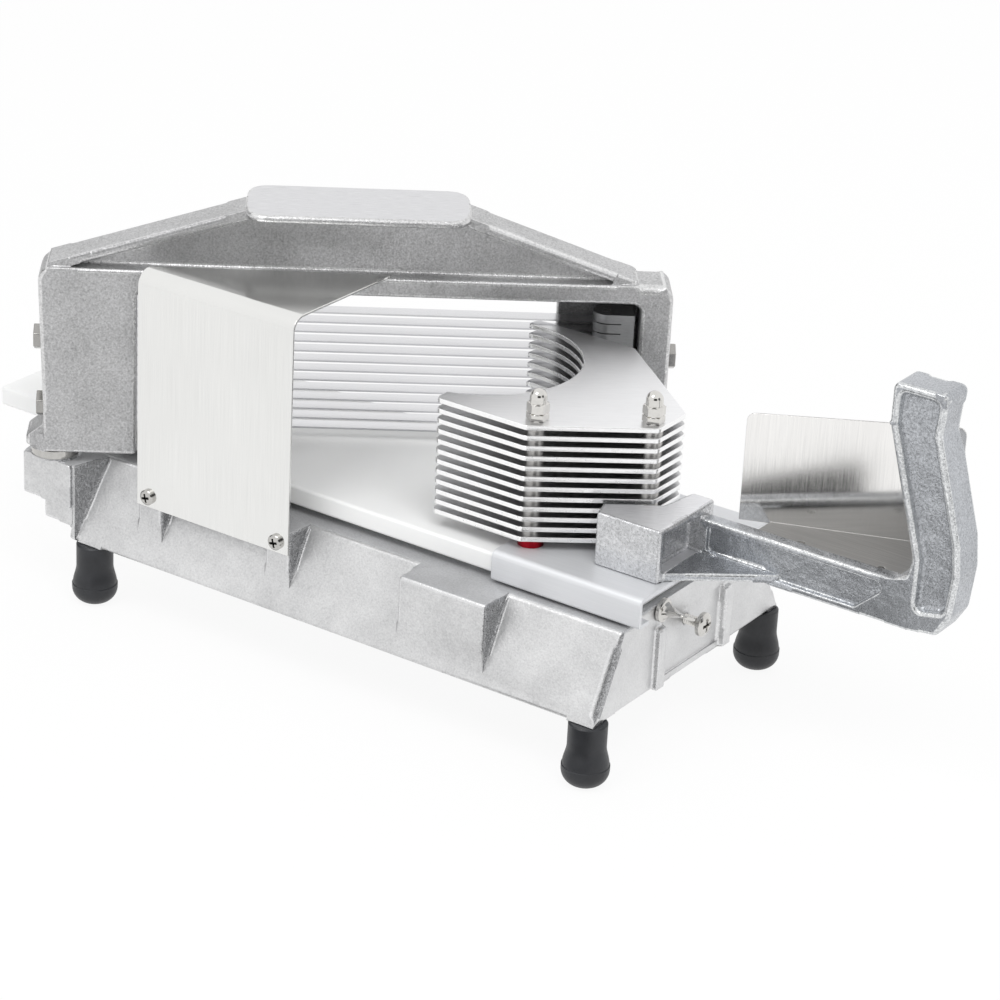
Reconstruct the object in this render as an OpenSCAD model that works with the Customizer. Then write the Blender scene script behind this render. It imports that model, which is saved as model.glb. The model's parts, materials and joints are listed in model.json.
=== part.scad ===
// A countertop tomato slicer. A finned pusher on a channel carriage runs along a plastic
// slide board and presses the fruit through a slanted stack of thirteen blades.
// The origin is on the bench, midway between the feet: +X to the handle, +Y to the far side, +Z up.

/* [Base casting] */
// Length of the base
base_len = 382; // [372:1:400]
// Width of the base along its bottom edge
base_w = 206; // [202:1:216]
// Height of the base from its bottom edge to the deck
base_h = 51; // [46:1:58]
// Width of the flat deck
deck_w = 153; // [150:1:160]
// Thickness of the cast walls
base_wall = 5; // [4:0.5:6]
// Width of the raised rail under the slide board
rail_w = 116; // [106:1:118]
// Height of the rail above the deck
rail_h = 4.5; // [4:0.1:6]
// Thickness of the cross ribs inside the base
web_t = 4; // [3:0.5:6]
// Distance of the cross ribs from the middle of the base
web_x = 64; // [50:1:90]
// Width of the upright ribs on the handle end
end_rib_w = 8; // [5:0.5:12]
// Distance those ribs stand out of the end wall
end_rib_t = 4; // [2:0.5:6]
// Height of those ribs from the base's bottom edge
end_rib_h = 40; // [30:0.5:41]
// Distance between those ribs, centre to centre
end_rib_span = 74; // [70:1:90]
// Depth of the shallow panel between those ribs
panel_depth = 1.5; // [0.5:0.5:2.5]
// Length of the raised block on the near side
block_len = 62; // [40:1:72]
// Distance of the raised block's middle from the middle of the base
block_x = 81; // [70:1:100]
// Distance of the raised block's face from the base's bottom edge
block_inset = 4.2; // [2:0.1:7]
// Distance of the front guard's back from the base's bottom edge
guard_inset = 8; // [6:0.1:9]
// Width of each boss behind the front guard
guard_boss_w = 19; // [14:0.5:24]
// Radius of the two lugs that carry the blade frame
lug_r = 20; // [17:0.5:21]
// Thickness of the lugs
lug_h = 28.5; // [22:0.5:34]
// Width of the block under each lug
support_w = 18; // [12:0.5:24]
// Height of that block above the base's bottom edge
support_drop = 10; // [6:0.5:16]
// Height of the machined pad on each lug
pad_h = 1.7; // [1:0.1:3]
// Length of the base past its middle's left half, where the end wall carries the left lug
end_over = 6; // [4:0.5:8]
// Thickness of that end wall at its near edge
end_edge_t = 3.5; // [3:0.5:5]

/* [Feet] */
// Height of a rubber foot
foot_h = 40; // [36:0.5:50]
// Diameter of the foot's bulb
foot_d = 28.4; // [26:0.2:32]
// Diameter of the foot's neck
neck_d = 23; // [20:0.5:25]
// Diameter of the flat spot a foot stands on
foot_flat_d = 8; // [6:0.5:12]
// Height of the bulb
bulb_h = 15; // [13:0.5:18]
// Height over which the bulb narrows to the neck
flare_h = 9; // [7:0.5:12]
// Distance between the feet along the base
foot_span_x = 367; // [350:1:368]
// Distance between the feet across the base
foot_span_y = 191; // [180:1:192]
// Diameter of the stud moulded into a foot
foot_stud_d = 6.35; // [5:0.05:8]
// Length of that stud inside the foot
foot_stud_l = 14; // [10:1:20]
// Length of that stud inside the base
boss_stud_l = 6.5; // [5:0.5:8]

/* [Slide board] */
// Width of the board
board_w = 136; // [132:1:138]
// Thickness of the board
board_t = 12.5; // [10:0.5:16]
// Length of the board past the left end of the base
board_overhang = 94; // [80:1:100]
// Distance of the board's right end from the end of the base
board_setback = 5; // [3:1:8]
// Radius of the board's long edges
board_edge_r = 2; // [1:0.5:4]
// Distance between the board's screws along the base
board_screw_x = 260; // [200:1:280]
// Distance between the board's screws across the base
board_screw_y = 70; // [50:1:90]

/* [Carriage] */
// Length of the channel
carriage_len = 102; // [96:1:110]
// Length of the channel past the end of the base
carriage_over = 7; // [6:1:12]
// Thickness of the channel's side walls
channel_wall = 2.8; // [2:0.1:3.4]
// Thickness of the channel's top
channel_top = 3; // [2.6:0.1:4]
// Thickness of the lips that hook under the board
lip_t = 2.4; // [2:0.1:2.6]
// Reach of the lips under the board
lip_reach = 7.4; // [5:0.1:8]
// Radius of the channel's top edges
channel_edge_r = 4; // [2:0.5:5]

/* [Pusher] */
// Distance from one fin to the next
fin_pitch = 6.35; // [6:0.05:7]
// Thickness of a fin
fin_t = 3; // [2:0.1:3.4]
// Height of the bushes that lift the lowest fin off the carriage
bush_h = 5.5; // [5:0.1:8]
// Diameter of those bushes
bush_d = 15.5; // [12:0.5:18]
// Distance of the near stud from the channel's left end
stud_x = 11.2; // [10:0.2:14]
// Distance of the near stud from the board's near edge
stud_y = 19.8; // [18:0.2:24]
// Distance between the two studs
stud_span = 66.5; // [60:0.5:68]
// Diameter of the studs
stud_d = 7.9; // [6:0.1:9]
// Diameter of the spacers between fins
spacer_d = 12.4; // [10:0.1:14]
// Angle of the pusher's back edge to the long axis
pusher_angle = 37.6; // [36:0.2:40]
// Distance of the fins' back edge behind the studs
fin_margin = 10.6; // [9:0.2:12]
// Distance of the fins' near edge from the near stud
fin_near = 12.8; // [10:0.2:14]
// Reach of the near finger to the left of the near stud
near_reach = 62.5; // [56:0.1:63]
// Reach of the far finger to the left of the near stud
far_reach = 87; // [80:0.5:90]
// Width of the fins across the slicer
fin_w = 142; // [138:1:144]
// Distance of the fins' right end from the near stud
fin_right = 61.3; // [58:0.1:64]
// Length of the fins' straight right end
fin_right_len = 29; // [20:1:36]
// Distance of the fins' far corner to the left of the near stud
fin_far = 16.5; // [8:0.5:22]
// Radius of the fruit notch
notch_r = 62; // [58:0.5:63]
// Distance of the notch's centre to the left of the near stud
notch_x = 80.8; // [80:0.2:90]
// Distance of the notch's centre from the fins' near edge
notch_y = 71; // [69:0.2:73]

/* [Blades] */
// Angle of the blades to the long axis
blade_angle = 36.6; // [35:0.2:38]
// Distance of the blades' middle line from the origin
blade_shift = 53; // [50:0.5:56]
// Gap between the slide board and the ring under the frame's left post
post_gap = 11.6; // [10.6:0.1:12.6]
// Distance of the blades' right end from the origin, along the blades
blade_right = 110; // [109:0.5:111]
// Width of a blade
blade_w = 12.7; // [10:0.1:14]
// Thickness of a blade
blade_t = 0.5; // [0.3:0.05:0.8]
// Width of the ground edge of a blade
bevel_w = 2; // [1:0.1:3]
// Diameter of the pins through the blade ends
pin_d = 5; // [4:0.1:6]
// Distance of a pin from the end of the blades
pin_inset = 3.5; // [3.2:0.1:5]
// Length of a blade holder along the blades
holder_len = 25; // [22:0.5:27]
// Width of a blade holder
holder_w = 18; // [16:0.2:19]
// Distance of a holder's tip from the end of the blades
holder_grip = 12; // [11:0.5:14]
// Height of a holder above and below the blades
holder_over = 5.9; // [4:0.1:6]

/* [Blade frame] */
// Width of the frame across the blades
frame_w = 32; // [30:1:34]
// Thickness of the frame's front and back walls
frame_wall = 6; // [5:0.2:6.4]
// Distance of the frame's left end past the blades
frame_left = 30; // [28:0.5:33]
// Width of the left post
left_post = 60; // [50:1:64]
// Width of the back wall behind the right holder
back_post = 69; // [50:1:72]
// Thickness of the left post's end wall at its top
end_wall = 9; // [8:0.5:10]
// Draft by which that end wall is thinner at its bottom
post_draft = 3.7; // [0:0.1:4.5]
// Distance of the right post past the blades
right_gap = 16; // [15:0.5:18]
// Width of the right post
right_post = 19.3; // [16:0.1:22]
// Height of the window above the top blade
window_h = 15.4; // [14:0.2:20]
// Height of the band over the window
band_h = 12.2; // [10:0.2:16]
// Radius of the window's top corners
window_r = 6; // [3:0.5:8]
// Radius of the frame's outer top corners
frame_corner_r = 9; // [4:0.5:12]
// Height of the top plate over the band
crown_h = 42; // [34:0.5:50]
// Length of the top plate
crown_len = 134.5; // [110:0.5:150]
// Width of the top plate
crown_w = 58; // [44:1:64]
// Thickness of the top plate
crown_t = 5; // [4:0.5:7]
// Radius of the top plate's corners
crown_r = 13; // [8:0.5:18]
// Distance of the top plate's right end from the right end of the frame
crown_inset = 125.3; // [115:0.5:135]
// Thickness of the upright web under the top plate
rib_web_t = 12; // [8:0.5:16]
// Width of the sloping ribs
rib_w = 26; // [20:0.5:30]
// Thickness of the sloping ribs
rib_t = 7; // [5:0.5:9]
// Distance of the left rib's foot from the left end of the frame
rib_left = 6; // [4:0.5:20]
// Distance of the right rib's foot from the right end of the frame
rib_right = 22; // [12:0.5:30]
// Height of the spacer rings under the frame
frame_spacer_h = 5; // [3:0.5:8]
// Diameter of the spacer rings
frame_spacer_d = 30; // [26:0.5:34]
// Diameter of the studs that hold the frame on the lugs
frame_stud_d = 9.5; // [8:0.1:12]
// Height of the frame's two round feet
frame_foot_h = 11.3; // [10:0.1:11.5]
// Diameter of the frame's two round feet
frame_foot_d = 32; // [28:0.5:34]
// Distance of the left foot's centre from the left end of the frame
left_foot = 9; // [8:0.5:12]
// Distance of the right foot's centre from the right end of the frame
right_foot = 8.3; // [7:0.1:12]

/* [Guards] */
// Thickness of the front guard's sheet
guard_t = 1.5; // [1:0.1:2]
// Length of the front guard
guard_len = 116.7; // [110:0.1:120]
// Distance of the front guard's right end to the left of the origin
guard_right = 32.3; // [30:0.1:36]
// Height of the front guard
guard_h = 151.5; // [140:0.5:160]
// Distance of the guard's lower edge below the deck
guard_drop = 14; // [10:0.5:16]
// Outside radius of the guard's bend
guard_bend_r = 9.5; // [6:0.5:14]
// Angle of the guard's back edge to the long axis
guard_angle = 35.5; // [34:0.5:37]
// Reach of the guard's flange at its right end
guard_reach = 95.5; // [88:0.5:98]
// Distance of the guard's screws below the deck
guard_screw_drop = 7; // [6:0.5:8]
// Distance of the left guard screw from the guard's left end
guard_screw_left = 9; // [8:0.5:12]
// Distance of the right guard screw from the guard's right end
guard_screw_right = 9; // [8:0.5:12]
// Thickness of the rear guard's sheet
leaf_t = 1.2; // [0.8:0.1:2]
// Length of the rear guard
leaf_len = 125; // [110:1:130]
// Height of the rear guard at its left end
leaf_h0 = 67; // [60:1:74]
// Height of the rear guard at its right end
leaf_h1 = 75; // [64:1:80]
// Angle of the rear guard to the long axis
leaf_angle = 21.8; // [20:0.2:24]
// Distance of the rear guard's left end past the end of the carriage
leaf_x = 7; // [4:0.5:10]
// Distance of the rear guard's left end behind the handle arm
leaf_gap = 13.6; // [12:0.2:15]

/* [Handle] */
// Height of the handle's root on the carriage
root_h = 33; // [28:0.5:36]
// Length of the root along the carriage
root_len = 47; // [44:0.5:50]
// Width of the root across the carriage
root_w = 59.5; // [56:0.5:62]
// Distance of the root's right face from the end of the carriage
root_setback = 4; // [3:0.5:6]
// Distance of the root's near face from the board's near edge
root_near = 19.5; // [17:0.5:24]
// Depth of the pocket in the root
root_pocket = 9; // [4:0.5:12]
// Thickness of the walls round that pocket
root_wall = 5.5; // [4:0.5:7]
// Thickness of the arm
arm_t = 10; // [8:0.5:14]
// Height of the arm
arm_h = 28; // [24:0.5:32]
// Distance of the arm's near face to the near side of the origin
arm_y = 3; // [1:0.5:5]
// Depth of the pockets in the arm's two faces
arm_pocket = 3.2; // [2:0.1:3.5]
// Width of the rim round those pockets
arm_rim = 4; // [3:0.5:6]
// Thickness of the flange under the root and arm
flange_t = 4.7; // [4:0.1:6]
// Length of that flange past the root
flange_len = 52; // [44:1:58]
// Thickness of the grip
grip_t = 25; // [20:0.5:30]
// Height of the grip
grip_h = 144; // [136:1:150]
// Distance of the grip's foot past the end of the carriage
grip_x = 130; // [126:0.5:136]
// Depth of the recess in the grip's near face
grip_recess = 5; // [3:0.5:8]
// Width of the rim round that recess
grip_rim = 5; // [4:0.2:6]
// Thickness of the ledge that carries the rear guard
ledge_t = 6; // [5:0.5:8]
// Length of the ledge
ledge_len = 82; // [60:1:84]

/* [Fasteners] */
// Diameter of the small screws' shanks
screw_d = 4.8; // [4:0.1:5.4]
// Diameter of the small screws' heads
screw_head_d = 9.8; // [8:0.1:11]
// Height of the small screws' heads
screw_head_h = 3.2; // [2.4:0.1:4]
// Diameter of the tension bolts
bolt_d = 9.5; // [8:0.1:10]
// Width of the tension bolts' heads across flats
bolt_af = 14.3; // [13:0.1:16]
// Height of the tension bolts' heads
bolt_head_h = 4.8; // [4:0.1:8]
// Height of the lower tension bolts above the bottom of a holder
bolt_inset = 15; // [10:0.5:20]
// Distance from the lower to the upper tension bolts
bolt_span = 44; // [36:0.5:56]
// Width of the pusher's nuts across flats
nut_af = 12.7; // [12:0.1:14]
// Height of a jam nut
jam_h = 4.5; // [3:0.1:6]
// Height of an acorn nut
acorn_h = 14.3; // [13:0.1:17]
// Diameter of the stop screw
stop_d = 6.35; // [5:0.05:8]
// Diameter of the stop screw's head
stop_head_d = 14.6; // [11:0.1:16]
// Length of bare thread between the end wall and the stop screw's head
stop_gap = 8.5; // [5:0.5:12]
// Height of the stop screw above the base's bottom edge
stop_z = 31.7; // [24:0.1:34]
// Diameter of the thumb screw's shank
thumb_d = 5; // [4:0.1:6]
// Diameter of the thumb screw's collar
thumb_collar_d = 14.5; // [12:0.1:15]
// Thickness of that collar
thumb_collar_t = 3.2; // [2:0.1:5]
// Length of the thumb screw's wing
thumb_wing_l = 18; // [12:0.5:24]
// Width of the thumb screw's wing
thumb_wing_w = 15; // [10:0.5:18]
// Thickness of the thumb screw's wing
thumb_wing_t = 2.4; // [1.6:0.1:3.2]
// Angle at which the wing stands
thumb_angle = -28; // [-90:1:90]
// Distance of the thumb screw from the base's middle line
thumb_y = 36.5; // [30:0.5:40]
// Distance of the stop screw from the base's middle line
stop_y = 3.5; // [0:0.5:8]

/* [Clearances] */
// Running gap beside the board
side_gap = 0.6; // [0.3:0.05:1]
// Running gap above and below the board
lift_gap = 0.4; // [0.3:0.05:0.6]
// Gap round screws, studs and pins in their holes
hole_gap = 0.05; // [0.02:0.01:0.1]
// Gap above and below a blade in its slot
slot_gap = 0.1; // [0.05:0.01:0.2]
// Gap between the handle and the board below it
handle_gap = 1.2; // [0.6:0.1:2]

/* [Hidden] */
$fn = 64;
FIN_COUNT = 12;
BLADE_COUNT = FIN_COUNT + 1;
// Overshoot of a cut past the face it opens
cut = 1;
// Depth to which a rib or boss is rooted in the wall that carries it
root = 2;
// Radius of small cast and bent corners
small_r = 2;
// Radius of larger cast corners
cast_r = 4;

// Heights, from the bench up
base_z = foot_h;
deck_z = base_z + base_h;
board_z = deck_z + rail_h;
board_top = board_z + board_t;
carriage_top = board_top + lift_gap + channel_top;
pad_z = deck_z + pad_h;
frame_z = pad_z + frame_spacer_h;
function fin_z(i) = carriage_top + bush_h + i * fin_pitch;
function blade_z(i) = fin_z(0) + fin_t / 2 + (i - 0.5) * fin_pitch;
fin_top = fin_z(FIN_COUNT - 1) + fin_t;
holder_z0 = blade_z(0) - holder_over;
holder_z1 = blade_z(BLADE_COUNT - 1) + holder_over;
window_z = blade_z(BLADE_COUNT - 1) + window_h;
band_top = window_z + band_h;
crown_z = band_top + crown_h;

// Base and board
base_x = base_len / 2;
base_x0 = -base_x - end_over;
board_x0 = -base_x - board_overhang;
board_x1 = base_x - board_setback;
side_slope = (base_w - deck_w) / 2 / base_h;
side_wall = base_wall * sqrt(1 + side_slope * side_slope);
function side_y(z) = base_w / 2 - side_slope * (z - base_z);
function side_z(y) = base_z + (base_w / 2 - y) / side_slope;
foot_boss_d = neck_d + root;
foot_spots = [for (x = [-1, 1], y = [-1, 1]) [x * foot_span_x / 2, y * foot_span_y / 2]];
board_screw_spots = [for (x = [-1, 1], y = [-1, 1]) [x * board_screw_x / 2, y * board_screw_y / 2]];
// Share of the board's thickness that its screws enter
board_screw_share = 0.7;
board_screw_z = board_z + board_t * board_screw_share;
// Height of the cross ribs' lower edge above the base's bottom edge
web_lift = 8;
// Distance of the shallow panel from the base's bottom edge and from the deck
panel_low = 4;
panel_high = 10;

// Carriage
channel_in = board_w / 2 + side_gap;
channel_out = channel_in + channel_wall;
channel_z = board_z - lift_gap - lip_t;
lip_in = board_w / 2 - lip_reach;
carriage_x1 = base_x + carriage_over;
carriage_x0 = carriage_x1 - carriage_len;

// Pusher
stud_near_xy = [carriage_x0 + stud_x, stud_y - board_w / 2];
stud_far_xy = stud_near_xy + stud_span * [cos(pusher_angle), sin(pusher_angle)];
stud_spots = [stud_near_xy, stud_far_xy];
stud_z0 = carriage_top - channel_top + lift_gap;
// Share of an acorn nut's height that the stud fills
stud_share = 0.55;
stud_z1 = fin_top + jam_h + acorn_h * stud_share;
fin_y0 = stud_near_xy.y - fin_near;
fin_y1 = fin_y0 + fin_w;
fin_x1 = stud_near_xy.x + fin_right;
fin_corner_x = stud_near_xy.x + (fin_margin - fin_near * cos(pusher_angle)) / sin(pusher_angle);
fin_bend_y = fin_y0 + (fin_x1 - fin_corner_x) * tan(pusher_angle);
fin_far_x = stud_near_xy.x - fin_far;
notch_xy = [stud_near_xy.x - notch_x, fin_y0 + notch_y];

// Blade frame, along and across the blades
left_lug_y = -(board_w + frame_spacer_d) / 2 - post_gap;
left_foot_x = (left_lug_y - blade_shift * cos(blade_angle)) / sin(blade_angle);
frame_x0 = left_foot_x - left_foot;
blade_left = frame_x0 + frame_left;
window_x0 = frame_x0 + left_post;
window_x1 = blade_right + right_gap;
frame_x1 = window_x1 + right_post;
frame_y0 = blade_shift - frame_w / 2;
frame_y1 = blade_shift + frame_w / 2;
right_foot_x = frame_x1 - right_foot;
crown_x1 = frame_x1 - crown_inset;
crown_x0 = crown_x1 - crown_len;
frame_foot_top = frame_z + frame_foot_h;
// Bottom of the back wall behind the right holder, clear of the board
back_z = holder_z0;
frame_stud_top = frame_foot_top - root;
// Ends of the tension bolts' shanks inside the holders
bolt_reach = 6;
bolt_zs = [holder_z0 + bolt_inset, holder_z0 + bolt_inset + bolt_span];
function to_base(p) = [p.x * cos(blade_angle) - p.y * sin(blade_angle),
                       p.x * sin(blade_angle) + p.y * cos(blade_angle)];
left_lug = to_base([left_foot_x, blade_shift]);
right_lug = to_base([right_foot_x, blade_shift]);
lug_z = deck_z - lug_h;
// Thickness of metal left under a frame stud in its lug
lug_floor = 6;
lug_stud_z = lug_z + lug_floor;
// Left face of the left post at a height
function post_x(z) = frame_x0 + post_draft * (band_top - z) / (band_top - frame_z);
// Toe of the left post: inset from its sides, reach past its end, and heights over the frame's bottom
toe_inset = 4;
toe_reach = 8;
toe_low = 3;
toe_tip = 9;
toe_high = 18;
// Length of a holder's slots past the end of the blades
slot_over = 5;

// Front guard
guard_x1 = -guard_right;
guard_x0 = guard_x1 - guard_len;
guard_back_y = guard_inset - base_w / 2;
guard_front_y = guard_back_y - guard_t;
guard_z0 = deck_z - guard_drop;
guard_z1 = guard_z0 + guard_h;
guard_screw_xs = [guard_x0 + guard_screw_left, guard_x1 - guard_screw_right];
guard_screw_z = deck_z - guard_screw_drop;
guard_screw_l = 14;

// Handle
root_x1 = carriage_x1 - root_setback;
root_x0 = root_x1 - root_len;
root_y0 = root_near - board_w / 2;
root_y1 = root_y0 + root_w;
root_top = carriage_top + root_h;
arm_y0 = -arm_y;
arm_y1 = arm_y0 + arm_t;
arm_z = board_top + handle_gap;
grip_foot_x = carriage_x1 + grip_x;
grip_top = arm_z + grip_h;
// Drop of the ledge's top below the arm's top
ledge_drop = 5.5;
ledge_z1 = arm_z + arm_h - ledge_drop;
// Length by which the ledge starts before the flange ends
ledge_back = 11;
ledge_x0 = root_x1 + flange_len - ledge_back;
ledge_x1 = ledge_x0 + ledge_len;
// Shares of the rear guard's gap: the ledge's width, and the place of its screws
ledge_share = 0.9;
leaf_screw_share = 0.55;
ledge_y1 = arm_y1 + leaf_gap * ledge_share;
leaf_spot = [carriage_x1 + leaf_x, arm_y1 + leaf_gap];
// Distance of the rear guard's screws from the ledge's ends
leaf_screw_in = 15;
leaf_screw_xs = [ledge_x0 + leaf_screw_in, ledge_x1 - leaf_screw_in];
leaf_screw_y = arm_y1 + leaf_gap * leaf_screw_share;
// Distance by which the rear guard's flange starts before the ledge
leaf_lead = 13;
// Screws into the root from below: from its left near corner, and from its right near corner
root_screw_left = [12, 9];
root_screw_right = [-19, 19];
root_screw_spots = [[root_x0, root_y0] + root_screw_left, [root_x1, root_y0] + root_screw_right];
root_screw_l = 16;
// Radii of the grip's round corners and of the recess in it
grip_top_r = 4;
grip_back_r = 10;

// Stop screw and thumb screw, on the handle end of the base
stop_axis_z = base_z + stop_z;
stop_head_h = screw_head_h * 1.3;
thumb_axis_z = deck_z;
// Length of both screws inside the base
shank_in = 15;
// Gap under a head or an edge that touches nothing
seat_gap = 0.3;

// Corner of an outline, turned into an arc of the given radius
function unit(v) = v / norm(v);
function turn(a) = a > 180 ? a - 360 : a < -180 ? a + 360 : a;
function corner_arc(p, c, q, r, steps) =
  let (u = unit(p - c), v = unit(q - c))
  let (half = acos(u * v) / 2)
  let (m = c + unit(u + v) * r / sin(half))
  let (s = c + u * r / tan(half) - m, e = c + v * r / tan(half) - m)
  let (a = atan2(s.y, s.x), sweep = turn(atan2(e.y, e.x) - a))
  [for (k = [0:steps]) m + r * [cos(a + sweep * k / steps), sin(a + sweep * k / steps)]];
function rounded(points, radii, steps = 6) =
  let (n = len(points))
  [for (i = [0:n - 1]) each radii[i] == 0 ? [points[i]] :
    corner_arc(points[(i + n - 1) % n], points[i], points[(i + 1) % n], radii[i], steps)];
// Outline moved inwards by d, for points that run anticlockwise
function left_normal(v) = [-v.y, v.x];
function inset(points, d) =
  let (n = len(points))
  [for (i = [0:n - 1])
    let (a = left_normal(unit(points[i] - points[(i + n - 1) % n])))
    let (b = left_normal(unit(points[(i + 1) % n] - points[i])))
    points[i] + d * (a + b) / (1 + a * b)];

// Extrusions of an outline along X, with (Y, Z) points, and along Y, with (X, Z) points
module along_x(x0, x1) {
  translate([x0, 0, 0]) rotate([90, 0, 90]) linear_extrude(x1 - x0) children();
}
module along_y(y0, y1) {
  translate([0, y1, 0]) rotate([90, 0, 0]) linear_extrude(y1 - y0) children();
}
module box(lo, hi) {
  translate(lo) cube(hi - lo);
}
module rod_x(x0, x1, d) {
  translate([x0, 0, 0]) rotate([0, 90, 0]) cylinder(h = x1 - x0, d = d);
}
module rod_z(z0, z1, d) {
  translate([0, 0, z0]) cylinder(h = z1 - z0, d = d);
}
module ring(z0, z1, d, bore) {
  difference() {
    rod_z(z0, z1, d);
    rod_z(z0 - cut, z1 + cut, bore + 2 * hole_gap);
  }
}
module hexagon(z0, z1, af) {
  translate([0, 0, z0]) cylinder(h = z1 - z0, d = af / cos(30), $fn = 6);
}
module at(spots) {
  for (p = spots) translate(p) children();
}
// Everything on the blade frame is drawn along and across the blades, then turned into place
module on_frame() {
  rotate(blade_angle) children();
}
// A screw that points down from its head's seat at the origin, with a cross in its head
module pan_screw(d, length, head_d, head_h) {
  edge_r = head_h * 0.6;
  cross_l = head_d * 0.56;
  cross_w = head_d * 0.12;
  cross_z = head_h * 0.45;
  head = rounded([[0, 0], [head_d / 2, 0], [head_d / 2, head_h], [0, head_h]], [0, 0, edge_r, 0]);
  translate([0, 0, -length]) cylinder(h = length, d = d);
  difference() {
    rotate_extrude() polygon(head);
    for (a = [0, 90]) rotate(a) translate([-cross_l / 2, -cross_w / 2, cross_z])
      cube([cross_l, cross_w, head_h]);
  }
}

// The base
base_outline = [[-base_w / 2, base_z], [base_w / 2, base_z], [deck_w / 2, deck_z], [-deck_w / 2, deck_z]];
module base_body() {
  along_x(base_x0, base_x) polygon(rounded(base_outline, [small_r, small_r, cast_r, cast_r]));
}
module base_hollow() {
  roof_z = deck_z - base_wall;
  foot_y = base_w / 2 - side_wall;
  roof_y = side_y(roof_z) - side_wall;
  along_x(base_x0 + base_wall, base_x - base_wall)
    polygon([[-foot_y, base_z - cut], [foot_y, base_z - cut], [foot_y, base_z],
             [roof_y, roof_z], [-roof_y, roof_z], [-foot_y, base_z]]);
}
// Three-sided block that stands out of the sloping side, with an upright face
module side_block(x, width, face_y) {
  foot_z = side_z(face_y);
  along_x(x - width / 2, x + width / 2)
    polygon([[-face_y, foot_z], [root - face_y, foot_z], [root - deck_w / 2, deck_z], [-face_y, deck_z]]);
}
// Round lug with a machined pad, before it is joined to the base
module lug(spot) {
  translate(spot) rod_z(lug_z, deck_z, 2 * lug_r);
  translate(spot) rod_z(deck_z - root, pad_z, frame_spacer_d + cut);
}
module left_lug_block() {
  near_y = -base_w / 2 - root;
  far_y = left_lug.y + lug_r;
  inner_x = base_x0 + root;
  difference() {
    union() {
      lug(left_lug);
      box([left_lug.x, left_lug.y - lug_r, lug_z], [inner_x, far_y, deck_z]);
      box([left_lug.x - root, left_lug.y - support_w / 2, base_z + support_drop],
          [inner_x, left_lug.y + support_w / 2, lug_z + root]);
    }
    box([left_lug.x - 2 * lug_r, near_y - lug_r, base_z], [inner_x + cut, near_y, deck_z + cut]);
  }
  translate([0, 0, base_z]) linear_extrude(base_h)
    polygon([[base_x0, -base_w / 2], [base_x0 + end_edge_t, -base_w / 2],
             [base_x0 + 2 * base_wall, -deck_w / 2], [base_x0, -deck_w / 2]]);
}
// Bracket from the middle of the sloping far wall out to the right lug's centre
module far_bracket(width, z0, z1) {
  function mid_y(z) = side_y(z) - side_wall / 2;
  along_x(right_lug.x - width / 2, right_lug.x + width / 2)
    polygon([[mid_y(z0), z0], [right_lug.y, z0], [right_lug.y, z1], [mid_y(z1), z1]]);
}
module right_lug_block() {
  lug(right_lug);
  far_bracket(2 * lug_r, lug_z, deck_z);
  far_bracket(support_w, base_z + support_drop, lug_z + root);
}
module base_end_ribs() {
  for (s = [-1, 1]) along_x(base_x - root, base_x + end_rib_t)
    translate([s * end_rib_span / 2 - end_rib_w / 2, base_z]) square([end_rib_w, end_rib_h]);
}
module base_inner_ribs() {
  intersection() {
    along_x(-base_x, base_x) polygon(base_outline);
    union() {
      at(foot_spots) rod_z(base_z, deck_z - root, foot_boss_d);
      for (s = [-1, 1]) along_x(s * web_x - web_t / 2, s * web_x + web_t / 2)
        translate([-base_w / 2, base_z + web_lift]) square([base_w, base_h - web_lift - root]);
    }
  }
}
module base_holes() {
  at(foot_spots) rod_z(base_z - cut, base_z + boss_stud_l, foot_stud_d + 2 * hole_gap);
  at(board_screw_spots) rod_z(deck_z - base_wall - cut, board_z + cut, screw_d + 2 * hole_gap);
  at([left_lug, right_lug]) rod_z(lug_stud_z, pad_z + cut, frame_stud_d + 2 * hole_gap);
  for (x = guard_screw_xs) translate([x, guard_back_y - cut, guard_screw_z]) rotate([-90, 0, 0])
    cylinder(h = guard_screw_l + cut, d = screw_d + 2 * hole_gap);
  translate([0, -stop_y, stop_axis_z]) rod_x(base_x - shank_in, base_x + cut, stop_d + 2 * hole_gap);
  translate([0, -thumb_y, thumb_axis_z])
    rod_x(base_x - shank_in - cut, base_x + cut, thumb_d + 2 * hole_gap);
  box([base_x - panel_depth, end_rib_w / 2 - end_rib_span / 2, base_z + panel_low],
      [base_x + cut, end_rib_span / 2 - end_rib_w / 2, deck_z - panel_high]);
}
module base_casting() {
  color("#c6c8ca") difference() {
    union() {
      difference() {
        base_body();
        base_hollow();
      }
      base_inner_ribs();
      box([base_x0, -rail_w / 2, deck_z - root], [base_x, rail_w / 2, board_z]);
      side_block(block_x, block_len, base_w / 2 - block_inset);
      for (x = guard_screw_xs) side_block(x, guard_boss_w, -guard_back_y);
      left_lug_block();
      right_lug_block();
      base_end_ribs();
    }
    base_holes();
  }
}

// The feet
module foot(spot) {
  bulb_r = foot_d / 2;
  neck_r = neck_d / 2;
  sole_r = bulb_r - foot_flat_d / 2;
  flare_r = 20;
  outline = [[0, 0], [bulb_r, 0], [bulb_r, bulb_h],
             [neck_r, bulb_h + flare_h], [neck_r, foot_h], [0, foot_h]];
  color("#2b2c2f") translate(spot) difference() {
    rotate_extrude() polygon(rounded(outline, [0, sole_r, cast_r, flare_r, small_r / 2, 0]));
    rod_z(foot_h - foot_stud_l, foot_h + cut, foot_stud_d + 2 * hole_gap);
  }
}
module foot_studs() {
  color("#b9bbbd") at(foot_spots) rod_z(foot_h - foot_stud_l, base_z + boss_stud_l, foot_stud_d);
}

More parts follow.
